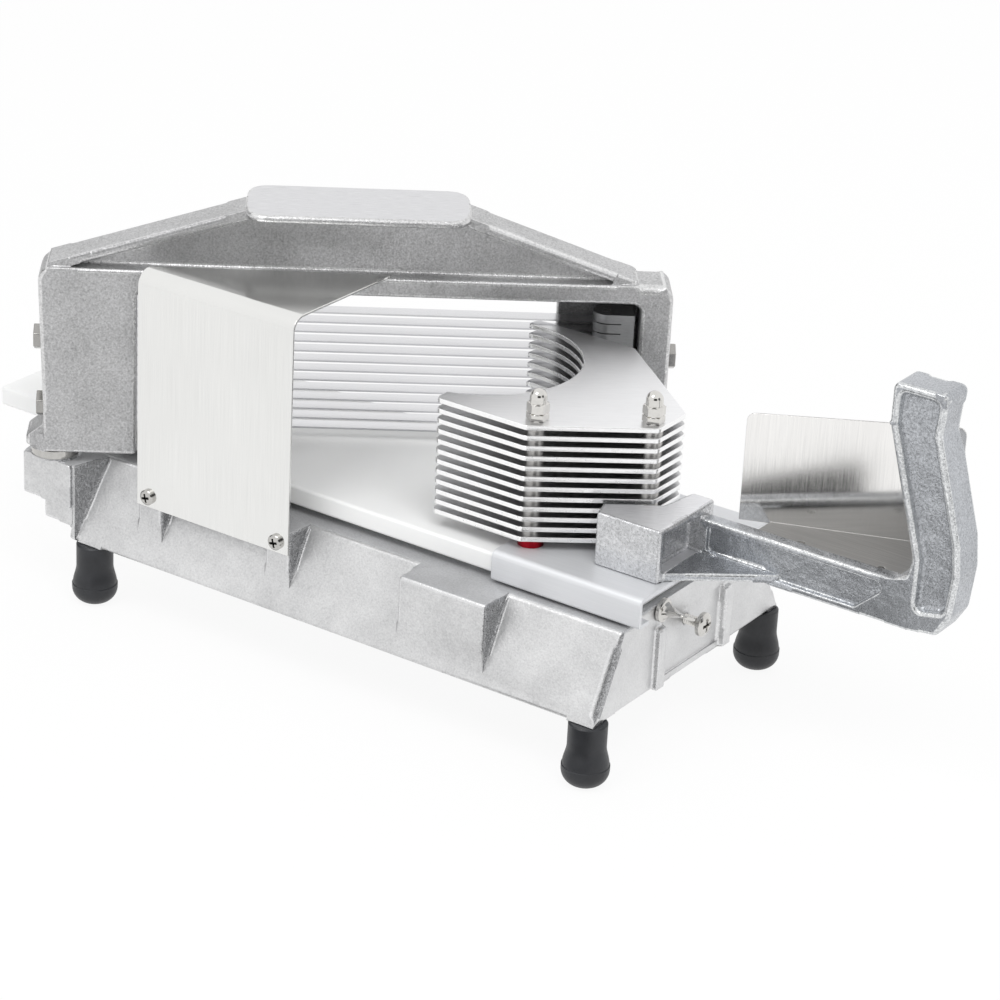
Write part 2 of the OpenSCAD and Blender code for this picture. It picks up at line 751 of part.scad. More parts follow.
// The slide board
module slide_board() {
  r = board_edge_r;
  color("#f4f5f5") difference() {
    along_x(board_x0, board_x1) polygon(rounded([[-board_w / 2, board_z], [board_w / 2, board_z],
      [board_w / 2, board_top], [-board_w / 2, board_top]], [r, r, r, r]));
    at(board_screw_spots) rod_z(board_z - cut, board_screw_z, screw_d + 2 * hole_gap);
  }
}
module board_screws() {
  under = deck_z - base_wall;
  color("#b9bbbd") at(board_screw_spots) translate([0, 0, under]) mirror([0, 0, 1])
    pan_screw(screw_d, board_screw_z - under, screw_head_d, screw_head_h);
}

// The blades and what holds them
module blade(i) {
  y0 = blade_shift - blade_w / 2;
  y1 = blade_shift + blade_w / 2;
  t = blade_t / 2;
  color("#dfe2e4") on_frame() translate([0, 0, blade_z(i)]) difference() {
    along_x(blade_left, blade_right)
      polygon([[y0, 0], [y0 + bevel_w, -t], [y1, -t], [y1, t], [y0 + bevel_w, t]]);
    for (x = [blade_left + pin_inset, blade_right - pin_inset]) translate([x, blade_shift])
      rod_z(-cut, cut, pin_d + 2 * hole_gap);
  }
}
// Slotted bar whose tip points along +X, with its tip at the origin's X
module holder_bar() {
  r = holder_w / 2;
  slot_l = holder_grip + slot_over;
  translate([0, blade_shift]) difference() {
    union() {
      translate([-holder_len, -r, holder_z0]) cube([holder_len - r, holder_w, holder_z1 - holder_z0]);
      translate([-r, 0]) rod_z(holder_z0, holder_z1, holder_w);
    }
    for (i = [0:BLADE_COUNT - 1])
      box([-slot_l, -holder_w, blade_z(i) - blade_t / 2 - slot_gap],
          [cut, holder_w, blade_z(i) + blade_t / 2 + slot_gap]);
    translate([pin_inset - holder_grip, 0]) rod_z(holder_z0 - cut, holder_z1 + cut, pin_d + 2 * hole_gap);
    for (z = bolt_zs) translate([0, 0, z])
      rod_x(-holder_len - cut, bolt_reach - holder_len, bolt_d + 2 * hole_gap);
  }
}
module holder_left() {
  color("#9a9c9f") on_frame() translate([blade_left + holder_grip, 0]) holder_bar();
}
module holder_right() {
  color("#9a9c9f") on_frame() translate([blade_right - holder_grip, 0]) mirror([1, 0, 0]) holder_bar();
}
module blade_pin(x) {
  color("#b9bbbd") on_frame() translate([x, blade_shift]) rod_z(holder_z0, holder_z1, pin_d);
}
module pin_left() {
  blade_pin(blade_left + pin_inset);
}
module pin_right() {
  blade_pin(blade_right - pin_inset);
}
// Bolt along +X whose head's seat is at the origin's X
module tension_bolt(length) {
  rod_x(0, length, bolt_d);
  translate([-bolt_head_h, 0, 0]) rotate([0, 90, 0]) hexagon(0, bolt_head_h, bolt_af);
}
module tension_bolts() {
  left_end = blade_left + holder_grip - holder_len + bolt_reach;
  right_l = frame_x1 - (blade_right - holder_grip + holder_len - bolt_reach);
  color("#7d7f82") on_frame() for (z = bolt_zs) {
    seat_x = post_x(z + bolt_af / 2 / cos(30));
    translate([seat_x, blade_shift, z]) tension_bolt(left_end - seat_x);
    translate([frame_x1, blade_shift, z]) mirror([1, 0, 0]) tension_bolt(right_l);
  }
}

// The blade frame
// Outline of the frame with its window, from one post's inner edge to the other's
module frame_outline(x0, x1) {
  r = frame_corner_r;
  polygon(rounded([[post_x(frame_z), frame_z], [x0, frame_z], [x0, window_z], [x1, window_z],
    [x1, frame_z], [frame_x1, frame_z], [frame_x1, band_top], [frame_x0, band_top]],
    [0, 0, window_r, window_r, 0, 0, r, r]));
}
module frame_crown_outline() {
  polygon([[frame_x0 + rib_left, band_top - root], [frame_x1 - rib_right, band_top - root],
    [frame_x1 - rib_right, band_top + root], [crown_x1, crown_z - crown_t],
    [crown_x0, crown_z - crown_t], [frame_x0 + rib_left, band_top + root]]);
}
// Sloping rib from its foot on the band up to the top plate
module frame_rib(foot_x, head_x) {
  step = head_x > foot_x ? rib_t : -rib_t;
  along_y(blade_shift - rib_w / 2, blade_shift + rib_w / 2)
    polygon([[foot_x, band_top - root], [foot_x, band_top + root], [head_x, crown_z - root],
             [head_x, crown_z - root - rib_t], [foot_x + step, band_top - root]]);
}
module frame_plate() {
  y0 = blade_shift - crown_w / 2;
  y1 = blade_shift + crown_w / 2;
  r = crown_r;
  translate([0, 0, crown_z - crown_t]) linear_extrude(crown_t)
    polygon(rounded([[crown_x0, y0], [crown_x1, y0], [crown_x1, y1], [crown_x0, y1]], [r, r, r, r]));
}
module frame_feet() {
  toe_x = frame_x0 - toe_reach;
  face_x = post_x(frame_z);
  for (x = [left_foot_x, right_foot_x]) translate([x, blade_shift])
    rod_z(frame_z, frame_foot_top, frame_foot_d);
  box([face_x, frame_y0, frame_z], [left_foot_x + frame_foot_d / 2, frame_y1, frame_foot_top]);
  along_y(frame_y0 + toe_inset, frame_y1 - toe_inset)
    polygon([[toe_x, frame_z + toe_low], [left_foot_x, frame_z + toe_low], [left_foot_x, frame_foot_top],
             [face_x + root, frame_z + toe_high], [post_x(frame_z + toe_high), frame_z + toe_high],
             [toe_x, frame_z + toe_tip]]);
}
module blade_frame() {
  ledge_z = band_top - frame_wall;
  color("#8f9194") on_frame() difference() {
    union() {
      along_y(frame_y0, frame_y0 + frame_wall) frame_outline(window_x0, window_x1);
      along_y(frame_y0, frame_y1) intersection() {
        frame_outline(window_x0, window_x1);
        union() {
          translate([frame_x0, ledge_z]) square([frame_x1 - frame_x0, frame_wall]);
          translate([frame_x0, frame_z]) square([end_wall, band_top - frame_z]);
          translate([window_x1, frame_z]) square([right_post, band_top - frame_z]);
        }
      }
      along_y(frame_y1 - frame_wall, frame_y1) intersection() {
        frame_outline(frame_x0 + end_wall, frame_x1 - back_post);
        translate([frame_x0, back_z]) square([frame_x1 - frame_x0, band_top - back_z]);
      }
      along_y(blade_shift - rib_web_t / 2, blade_shift + rib_web_t / 2) frame_crown_outline();
      frame_rib(frame_x0 + rib_left, crown_x0 + root);
      frame_rib(frame_x1 - rib_right, crown_x1 - root);
      frame_plate();
      frame_feet();
    }
    for (x = [left_foot_x, right_foot_x]) translate([x, blade_shift])
      rod_z(frame_z - cut, frame_stud_top, frame_stud_d + 2 * hole_gap);
    for (z = bolt_zs) translate([0, blade_shift, z]) {
      rod_x(frame_x0 - cut, frame_x0 + end_wall + cut, bolt_d + 2 * hole_gap);
      rod_x(window_x1 - cut, frame_x1 + cut, bolt_d + 2 * hole_gap);
    }
  }
}
module frame_spacers() {
  color("#cfd1d3") at([left_lug, right_lug]) ring(pad_z, frame_z, frame_spacer_d, frame_stud_d);
}
module frame_studs() {
  color("#b9bbbd") at([left_lug, right_lug]) rod_z(lug_stud_z, frame_stud_top, frame_stud_d);
}

// The front guard
module front_guard() {
  back_y = guard_front_y + guard_reach;
  side_reach = guard_reach - guard_len * tan(guard_angle);
  color("#d5d8da") difference() {
    intersection() {
      along_x(guard_x0, guard_x1) polygon(rounded([[guard_front_y, guard_z0], [guard_back_y, guard_z0],
        [guard_back_y, guard_z1 - guard_t], [back_y, guard_z1 - guard_t], [back_y, guard_z1],
        [guard_front_y, guard_z1]], [0, 0, guard_bend_r - guard_t, 0, 0, guard_bend_r], 10));
      translate([0, 0, guard_z0 - cut]) linear_extrude(guard_h + 2 * cut)
        polygon([[guard_x0, guard_front_y - cut], [guard_x1, guard_front_y - cut],
                 [guard_x1, back_y], [guard_x0, guard_front_y + side_reach]]);
    }
    for (x = guard_screw_xs) translate([x, guard_front_y - cut, guard_screw_z]) rotate([-90, 0, 0])
      cylinder(h = guard_t + 2 * cut, d = screw_d + 2 * hole_gap);
  }
}
module guard_screws() {
  color("#cfd1d3") for (x = guard_screw_xs) translate([x, guard_front_y, guard_screw_z]) rotate([90, 0, 0])
    pan_screw(screw_d, guard_screw_l, screw_head_d, screw_head_h);
}

// The stop screw and the thumb screw
module stop_screw() {
  color("#cfd1d3") translate([base_x + stop_gap, -stop_y, stop_axis_z]) rotate([0, 90, 0])
    pan_screw(stop_d, stop_gap + shank_in, stop_head_d, stop_head_h);
}
module thumb_screw() {
  wing_root = thumb_collar_d / 3;
  wing = rounded([[0, -wing_root], [thumb_wing_l, -thumb_wing_w / 2],
    [thumb_wing_l, thumb_wing_w / 2], [0, wing_root]], [0, cast_r, cast_r, 0]);
  cone_l = thumb_wing_l * 0.6;
  cone_d = thumb_collar_d * 0.72;
  color("#cfd1d3") translate([base_x + seat_gap, -thumb_y, thumb_axis_z]) rotate([thumb_angle, 0, 0]) {
    rod_x(-shank_in - seat_gap, thumb_collar_t, thumb_d);
    rod_x(0, thumb_collar_t, thumb_collar_d);
    translate([thumb_collar_t - cut, 0, 0]) rotate([0, 90, 0])
      cylinder(h = cone_l, d1 = cone_d, d2 = thumb_wing_t);
    translate([thumb_collar_t - cut, 0, -thumb_wing_t / 2]) linear_extrude(thumb_wing_t) polygon(wing);
  }
}

// The carriage
module carriage_channel() {
  r = channel_edge_r;
  roof_z = carriage_top - channel_top;
  lip_z = channel_z + lip_t;
  color("#d0d3d5") difference() {
    along_x(carriage_x0, carriage_x1) polygon(rounded([
      [-channel_out, channel_z], [-lip_in, channel_z], [-lip_in, lip_z], [-channel_in, lip_z],
      [-channel_in, roof_z], [channel_in, roof_z], [channel_in, lip_z], [lip_in, lip_z],
      [lip_in, channel_z], [channel_out, channel_z], [channel_out, carriage_top],
      [-channel_out, carriage_top]], [small_r, 0, 0, 0, 0, 0, 0, 0, 0, small_r, r, r]));
    at(stud_spots) rod_z(roof_z - cut, carriage_top + cut, stud_d + 2 * hole_gap);
    at(root_screw_spots) {
      rod_z(roof_z - cut, carriage_top + cut, screw_d + 2 * hole_gap);
      rod_z(roof_z - cut, roof_z + channel_top / 2, screw_head_d + 2 * hole_gap);
    }
  }
}
module fin(i) {
  outline = [[stud_near_xy.x - near_reach, fin_y0], [fin_corner_x, fin_y0], [fin_x1, fin_bend_y],
    [fin_x1, fin_bend_y + fin_right_len], [fin_far_x, fin_y1], [stud_near_xy.x - far_reach, fin_y1],
    [stud_near_xy.x - far_reach, notch_xy.y], [stud_near_xy.x - near_reach, notch_xy.y]];
  color("#d8dadb") translate([0, 0, fin_z(i)]) linear_extrude(fin_t) difference() {
    polygon(rounded(outline, [cast_r, cast_r, cast_r, cast_r, 2 * cast_r, cast_r, 0, 0]));
    translate(notch_xy) circle(notch_r, $fn = 128);
    for (p = stud_spots) translate(p) circle(d = stud_d + 2 * hole_gap);
  }
}
module fin_spacers() {
  color("#cfd1d3") at(stud_spots) for (i = [0:FIN_COUNT - 2])
    ring(fin_z(i) + fin_t, fin_z(i + 1), spacer_d, stud_d);
}
module fin_stud(spot) {
  color("#b9bbbd") translate(spot) rod_z(stud_z0, stud_z1, stud_d);
}
module stud_near() {
  fin_stud(stud_near_xy);
}
module stud_far() {
  fin_stud(stud_far_xy);
}
module fin_bushes() {
  color("#b3222c") at(stud_spots) ring(carriage_top, fin_z(0), bush_d, stud_d);
}
module jam_nuts() {
  color("#cfd1d3") at(stud_spots) difference() {
    hexagon(fin_top, fin_top + jam_h, nut_af);
    rod_z(fin_top - cut, fin_top + jam_h + cut, stud_d + 2 * hole_gap);
  }
}
module acorn_nuts() {
  z0 = fin_top + jam_h;
  dome_r = nut_af * 0.46;
  hex_h = acorn_h * 0.42;
  dome = rounded([[0, 0], [dome_r, 0], [dome_r, acorn_h], [0, acorn_h]], [0, 0, dome_r * 0.95, 0], 10);
  color("#d6d8d9") at(stud_spots) difference() {
    union() {
      hexagon(z0, z0 + hex_h, nut_af);
      translate([0, 0, z0]) rotate_extrude() polygon(dome);
    }
    rod_z(z0 - cut, stud_z1, stud_d + 2 * hole_gap);
  }
}

// The handle
// Corners of the grip's outline, as steps from its foot: round the palm side, then down the finger side
grip_toe = [20, 2];
grip_heel = [27.5, 15];
grip_palm = [30, 41];
grip_palm_top = [28, 59];
grip_neck = [10.5, 119];
grip_horn_x = 12.5;
grip_back = [-21.5, 119.5];
grip_belly = [0.5, 43.5];
grip_throat = [-2, 5];
grip_root_x = -12;
grip_foot = [grip_foot_x, arm_z];
grip_outline = [
  grip_foot, grip_foot + grip_toe, grip_foot + grip_heel, grip_foot + grip_palm,
  grip_foot + grip_palm_top, grip_foot + grip_neck, [grip_foot_x + grip_horn_x, grip_top],
  [grip_foot_x + grip_back.x, grip_top], grip_foot + grip_back, grip_foot + grip_belly,
  grip_foot + [grip_throat.x, arm_h + grip_throat.y], grip_foot + [grip_root_x, arm_h - root]];
// Lower edge of the arm: where its slope starts and ends past the root
arm_slope_x0 = 11;
arm_slope_x1 = 48;
arm_outline = [
  [root_x1 - root, carriage_top + lift_gap], [root_x1 + arm_slope_x0, carriage_top + lift_gap],
  [root_x1 + arm_slope_x1, arm_z], [grip_foot_x + root, arm_z], [grip_foot_x + root, arm_z + arm_h],
  [root_x1 - root, arm_z + arm_h]];
// Slanted right end of the arm's pockets, before the grip
pocket_low = 32;
pocket_high = 10;
arm_pocket_outline = [
  [root_x1 + arm_rim, carriage_top + flange_t + root], [root_x1 + arm_slope_x1 + root, arm_z + arm_rim],
  [grip_foot_x - pocket_low, arm_z + arm_rim], [grip_foot_x - pocket_high, arm_z + arm_h - arm_rim],
  [root_x1 + arm_rim, arm_z + arm_h - arm_rim]];
// Corners cut off the root: its near left one, and the place where it follows the lowest fin's back edge
root_cut = [4.3, 13];
root_bend_x = 27.5;
root_top_l = 15;
// Distance of the flange from the root's near face
flange_inset = 6;
// Height of the recess's lower end over the grip's foot
recess_lift = 13;
module handle_root() {
  corner_y = root_y0 + root_cut.y;
  bend = [root_x0 + root_bend_x, corner_y + root_bend_x * tan(pusher_angle)];
  r = small_r;
  translate([0, 0, carriage_top]) linear_extrude(root_h)
    polygon(rounded([[root_x0 + root_cut.x, root_y0], [root_x1, root_y0], [root_x1, root_y1],
      [root_x1 - root_top_l, root_y1], bend, [root_x0, corner_y]], [r, r, r, r, 0, r]));
}
module handle_root_pocket() {
  box([root_x1 - root_pocket, root_y0 + root_wall, carriage_top + root_wall],
      [root_x1 + cut, arm_y0, root_top - root_wall]);
}
module handle_flange() {
  flange_z = carriage_top + lift_gap;
  near_y = root_y0 + flange_inset;
  translate([0, 0, flange_z]) linear_extrude(flange_t)
    polygon([[root_x1 - root, near_y], [root_x1, near_y], [root_x1 + flange_len, arm_y0 + root],
             [root_x1 + flange_len, arm_y1], [root_x1 - root, arm_y1]]);
}
module handle_arm() {
  pocket = rounded(arm_pocket_outline, [small_r, 0, cast_r, cast_r, small_r]);
  difference() {
    along_y(arm_y0, arm_y1) polygon(arm_outline);
    along_y(arm_y0 - cut, arm_y0 + arm_pocket) polygon(pocket);
    along_y(arm_y1 - arm_pocket, arm_y1 + cut) polygon(pocket);
  }
}
module handle_grip() {
  b = grip_back_r;
  t = grip_top_r;
  recess_z = arm_z + recess_lift;
  inner = inset([for (i = [0:9]) grip_outline[i]], grip_rim);
  recess = [for (i = [0, 2, 3, 4, 5, 6, 7, 8, 9]) [inner[i].x, max(inner[i].y, recess_z)]];
  difference() {
    along_y(arm_y0, arm_y0 + grip_t)
      polygon(rounded(grip_outline, [small_r, t, b, b, b, b, t, t, b, b, t, 0]));
    along_y(arm_y0 - cut, arm_y0 + grip_recess)
      polygon(rounded(recess, [t, t, b, t, t, t, t, t, t]));
  }
}
module handle_ledge() {
  box([ledge_x0, arm_y1 - root, ledge_z1 - ledge_t], [ledge_x1, ledge_y1, ledge_z1]);
}
module handle_casting() {
  color("#a9abae") difference() {
    union() {
      difference() {
        handle_root();
        handle_root_pocket();
      }
      handle_flange();
      handle_arm();
      handle_grip();
      handle_ledge();
    }
    at(root_screw_spots) rod_z(carriage_top - cut, carriage_top + root_screw_l, screw_d + 2 * hole_gap);
    for (x = leaf_screw_xs) translate([x, leaf_screw_y])
      rod_z(ledge_z1 - ledge_t - cut, ledge_z1 + cut, screw_d + 2 * hole_gap);
  }
}
module handle_screws() {
  head_z = carriage_top - channel_top;
  color("#b9bbbd") at(root_screw_spots) {
    rod_z(head_z + channel_top / 2, carriage_top + root_screw_l, screw_d);
    rod_z(head_z + seat_gap / 3, head_z + channel_top / 2, screw_head_d);
  }
}

// The rear guard
module rear_guard() {
  flange_x0 = ledge_x0 - leaf_lead;
  corner_r = 5;
  function leaf_y(x) = leaf_spot.y + (x - leaf_spot.x) * tan(leaf_angle);
  color("#b4b6b8") difference() {
    union() {
      translate([leaf_spot.x, leaf_spot.y, ledge_z1]) rotate(leaf_angle) along_y(0, leaf_t)
        polygon(rounded([[0, 0], [leaf_len, 0], [leaf_len, leaf_h1], [0, leaf_h0]],
          [0, 0, corner_r, corner_r]));
      translate([0, 0, ledge_z1]) linear_extrude(leaf_t)
        polygon([[flange_x0, leaf_y(flange_x0) + leaf_t / 2], [flange_x0, arm_y1 + seat_gap],
                 [ledge_x1, arm_y1 + seat_gap], [ledge_x1, leaf_y(ledge_x1) + leaf_t / 2]]);
    }
    for (x = leaf_screw_xs) translate([x, leaf_screw_y])
      rod_z(ledge_z1 - cut, ledge_z1 + leaf_t + cut, screw_d + 2 * hole_gap);
  }
}
module rear_guard_screws() {
  under = ledge_z1 - ledge_t;
  color("#cfd1d3") for (x = leaf_screw_xs) translate([x, leaf_screw_y, under]) mirror([0, 0, 1])
    pan_screw(screw_d, leaf_t + ledge_t, screw_head_d, screw_head_h);
}

FEET = ["foot_left_near", "foot_left_far", "foot_right_near", "foot_right_far"];
BLADES = [for (i = [1:BLADE_COUNT]) str("blade_", i)];
FINS = [for (i = [1:FIN_COUNT]) str("fin_", i)];
base_casting();
for (i = [0:len(FEET) - 1]) foot(foot_spots[i]);
foot_studs();
slide_board();
board_screws();
for (i = [0:BLADE_COUNT - 1]) blade(i);
holder_left();
holder_right();
pin_left();
pin_right();
tension_bolts();
blade_frame();
frame_spacers();
frame_studs();
front_guard();
guard_screws();
stop_screw();
thumb_screw();
carriage_channel();
for (i = [0:FIN_COUNT - 1]) fin(i);
fin_spacers();
stud_near();
stud_far();
fin_bushes();
jam_nuts();
acorn_nuts();
handle_casting();
handle_screws();
rear_guard();
rear_guard_screws();
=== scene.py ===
"""A countertop tomato slicer in a white studio: cast, brushed and moulded finishes over its CAD frame."""
import json
import math
from collections import Counter

import bmesh
import bpy
import numpy as np
from bpy.props import FloatProperty, FloatVectorProperty, PointerProperty
from mathutils import Matrix, Vector


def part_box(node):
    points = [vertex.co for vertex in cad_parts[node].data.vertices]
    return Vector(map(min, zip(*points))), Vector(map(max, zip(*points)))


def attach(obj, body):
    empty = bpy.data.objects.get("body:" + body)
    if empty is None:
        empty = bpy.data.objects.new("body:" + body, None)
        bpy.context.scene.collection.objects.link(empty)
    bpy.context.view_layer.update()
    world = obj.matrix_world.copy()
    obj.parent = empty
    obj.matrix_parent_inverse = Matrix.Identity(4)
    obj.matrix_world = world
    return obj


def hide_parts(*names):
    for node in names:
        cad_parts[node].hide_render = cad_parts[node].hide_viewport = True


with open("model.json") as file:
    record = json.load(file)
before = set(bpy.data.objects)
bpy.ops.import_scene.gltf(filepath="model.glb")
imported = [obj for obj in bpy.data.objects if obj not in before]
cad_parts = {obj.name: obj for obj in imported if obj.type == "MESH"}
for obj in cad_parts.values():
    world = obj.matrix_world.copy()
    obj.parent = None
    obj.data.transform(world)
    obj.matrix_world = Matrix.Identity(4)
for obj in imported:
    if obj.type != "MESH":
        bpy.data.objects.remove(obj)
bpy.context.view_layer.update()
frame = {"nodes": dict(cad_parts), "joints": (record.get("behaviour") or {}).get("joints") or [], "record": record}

bl_info = {
    "name": "Tomato slicer",
    "version": (1, 0, 0),
    "blender": (4, 5, 0),
    "location": "View3D > Sidebar > Slicer",
    "description": "Dresses the slicer's CAD frame with cast, brushed and moulded finishes",
    "category": "Object",
}

NODES = frame["nodes"]
BODIES = {node: body for body, nodes in frame["record"]["behaviour"]["bodies"].items() for node in nodes}
BLADES = [f"blade_{i}" for i in range(1, 14)]
FINS = [f"fin_{i}" for i in range(1, 13)]
FEET = ["foot_left_near", "foot_left_far", "foot_right_near", "foot_right_far"]
MM = 0.001

# Limits for rounding edges
MERGE = 2e-6  # points closer than this are one
SLIVER = 2e-5  # a facet with less area than this times its rim is a sliver
DECK_FOOT = 0.08  # slivers are taken out above this height
FLAT = math.radians(0.6)  # sharper turns than this are kept between facets
SHARP = math.radians(38)  # edges that turn more than this are rounded, or else stay sharp
ROOM = 2.08  # widths of room that a strip needs on a face
ON_EDGE = 1e-6  # a rim nearer to an edge than this is the edge itself
TOUCH = 1e-22  # smaller products of sides are only a touch
TRIES = 8  # tries at each width
REACH = 0.005  # edges farther than this from a crossing stay in the next try
SPLIT = 0.015  # step into which sharp edges are cut
FINE_SPLIT = SPLIT / 4  # the same for edges that take the widest strip

# Places on the castings
BLADE_ANGLE = math.radians(36.6)  # turn of the blade frame about the upright
ALONG_ARCH = np.array((math.cos(BLADE_ANGLE), math.sin(BLADE_ANGLE), 0))
OUT_OF_ARCH = np.array((math.sin(BLADE_ANGLE), -math.cos(BLADE_ANGLE), 0))
LEDGE_FOOT = 0.205  # height above which the frame's ledge lies
RIB_FOOT = 0.2185  # height of the sloping ribs' feet
PLATE_FOOT = 0.2565  # height under the frame's top plate
INNER_WALL = -0.055  # place along OUT_OF_ARCH up to which its inner wall lies
DECK = 0.085  # height above which the base's deck lies
END_FACE = 0.185  # X past which the base's handle end lies
NEAR_CORNER = -0.06  # Y before which the handle end's near corner lies
CORNER_START = 0.18  # X where the near side meets that corner
NEAR_SIDE = -0.07  # Y before which the base's near side lies
ROOT_END = 0.1945  # X where the handle's root ends
GRIP_START = 0.28  # X past which the grip lies
RIM_BACK = -0.0005  # Y behind the rim of the grip
RECESS_BACK = 0.004  # Y behind the recess of the grip

NUT_FLATS = 11.6 * MM  # nuts across their flats


def colour_prop(name, note, value):
    """A colour that a user would change."""
    return FloatVectorProperty(name=name, description=note, subtype="COLOR", default=value, min=0, max=1)


def length_prop(name, note, value):
    """A length that a user would change."""
    return FloatProperty(name=name, description=note, default=value, min=0, unit="LENGTH")


def power_prop(name, note, value):
    """A lamp's power that a user would change."""
    return FloatProperty(name=name, description=note, default=value, min=0, unit="POWER")


def share_prop(name, note, value):
    """A share between 0 and 1 that a user would change."""
    return FloatProperty(name=name, description=note, default=value, min=0, max=1)


def angle_prop(name, note, degrees):
    """An angle that a user would change."""
    return FloatProperty(name=name, description=note, default=math.radians(degrees), subtype="ANGLE")


class SlicerColours(bpy.types.PropertyGroup):
    """Colours of the finishes."""
    base: colour_prop("Base", "As-cast aluminium of the base", (0.69, 0.695, 0.71))
    arch: colour_prop("Blade frame", "As-cast aluminium of the blade frame", (0.53, 0.53, 0.535))
    handle: colour_prop("Handle", "As-cast aluminium of the handle", (0.47, 0.485, 0.51))
    ground: colour_prop("Ground metal", "Ground faces of the castings", (0.72, 0.72, 0.735))
    board: colour_prop("Board", "Plastic of the slide board", (0.92, 0.925, 0.92))
    rubber: colour_prop("Feet", "Moulded rubber", (0.016, 0.017, 0.020))
    channel: colour_prop("Channel", "Satin aluminium of the carriage", (0.72, 0.73, 0.75))
    fin: colour_prop("Fins", "Satin aluminium of the pusher", (0.90, 0.90, 0.91))
    guard: colour_prop("Front guard", "Brushed aluminium sheet", (0.83, 0.83, 0.815))
    stainless: colour_prop("Rear guard", "Brushed stainless sheet", (0.88, 0.87, 0.855))
    blade: colour_prop("Blades", "Ground blade steel", (0.76, 0.76, 0.775))
    holder: colour_prop("Holders", "Dull machined steel", (0.40, 0.405, 0.41))
    bright: colour_prop("Fasteners", "Nickel plate", (0.54, 0.53, 0.51))
    bush: colour_prop("Bushes", "Red anodised aluminium", (0.32, 0.010, 0.020))


class SlicerSizes(bpy.types.PropertyGroup):
    """Sizes of the details."""
    cast_edge: length_prop("Cast edge", "Radius of the castings' edges", 1.6 * MM)
    rib_edge: length_prop("Rib edge", "Radius of the edges of the blade frame's ribs", 5.0 * MM)
    fine_edge: length_prop("Fine edge", "Radius of machined and sheared edges", 0.45 * MM)
    grain: length_prop("Cast grain", "Size of the grain on the castings", 1.2 * MM)
    thread_pitch: length_prop("Thread pitch", "Pitch of the stop screw's thread", 1.27 * MM)
    thread_depth: length_prop("Thread depth", "Depth of the stop screw's thread", 0.6 * MM)


class SlicerStudio(bpy.types.PropertyGroup):
    """Light, floor and camera."""
    sky: FloatProperty(name="Sky", description="Light that the white surroundings give", default=0.70, min=0)
    key: power_prop("Key lamp", "Power of the lamp that metal mirrors", 11.0)
    front: power_prop("Front lamp", "Power of the lamp by the camera", 22.5)
    back: power_prop("Back lamp", "Power of the lamp behind the slicer", 5.0)
    card: share_prop("Cards", "Tone of the dark cards that metal mirrors", 0.04)
    glow: share_prop("Floor glow", "Share of plain white in the floor", 0.92)
    lens: FloatProperty(name="Lens", description="Focal length of the camera in millimetres",
                        default=122.4, min=1)
    place: FloatVectorProperty(name="Camera", description="Place of the camera", subtype="TRANSLATION",
                               default=(1.0743, -1.5504, 0.9473))
    turn: angle_prop("Turn", "Turn of the camera about the upright", 33.38)
    tilt: angle_prop("Tilt", "Tilt of the camera below the horizon", 24.38)
    roll: angle_prop("Roll", "Roll of the camera", 3.02)


# Shader trees

def add(tree, kind, inputs=None, **settings):
    """A shader node with its settings and the values of its inputs."""
    made = tree.nodes.new(kind)
    for key, value in settings.items():
        setattr(made, key, value)
    for key, value in (inputs or {}).items():
        if isinstance(value, bpy.types.NodeSocket):
            tree.links.new(value, made.inputs[key])
        else:
            made.inputs[key].default_value = value
    return made


def new_finish(name):
    """An empty principled material, its tree and its shader."""
    material = bpy.data.materials.new(name)
    material.use_nodes = True
    return material, material.node_tree, material.node_tree.nodes["Principled BSDF"]


def bare_finish(name):
    """A material with no shader yet, and its tree."""
    material = bpy.data.materials.new(name)
    material.use_nodes = True
    material.node_tree.nodes.clear()
    return material, material.node_tree


def spot(tree, turn=0.0, stretch=(1, 1, 1)):
    """Object coordinates, turned about the upright and stretched."""
    coords = add(tree, "ShaderNodeTexCoord").outputs["Object"]
    mapping = add(tree, "ShaderNodeMapping", {"Vector": coords, "Scale": stretch}, vector_type="TEXTURE")
    mapping.inputs["Rotation"].default_value[2] = turn
    return mapping.outputs[0]


def noise(tree, vector, size, detail=3.0, rough=0.55):
    """Soft noise whose features have that size."""
    return add(tree, "ShaderNodeTexNoise", {"Vector": vector, "Scale": 1 / size, "Detail": detail,
                                            "Roughness": rough}).outputs[0]


def spread(tree, value, low, high, start=0.3, end=0.7):
    """A value between start and end, carried to low and high."""
    return add(tree, "ShaderNodeMapRange", {"Value": value, "From Min": start, "From Max": end,
                                            "To Min": low, "To Max": high}).outputs[0]


def maths(tree, operation, a, b):
    """Two values joined by an operation."""
    return add(tree, "ShaderNodeMath", {0: a, 1: b}, operation=operation).outputs[0]


def blend(tree, share, a, b):
    """Colour from a to b by a share."""
    made = add(tree, "ShaderNodeMix", {0: share}, data_type="RGBA")
    for index, value in ((6, a), (7, b)):
        if isinstance(value, bpy.types.NodeSocket):
            tree.links.new(value, made.inputs[index])
        else:
            made.inputs[index].default_value = (*value, 1)
    return made.outputs[2]


def shade(colour, factor):
    """The colour made darker or lighter."""
    return tuple(min(1.0, c * factor) for c in colour)


def relief(tree, shader, height, depth, strength):
    """Small bumps of that depth."""
    bump = add(tree, "ShaderNodeBump", {"Height": height, "Distance": depth, "Strength": strength})
    tree.links.new(bump.outputs[0], shader.inputs["Normal"])


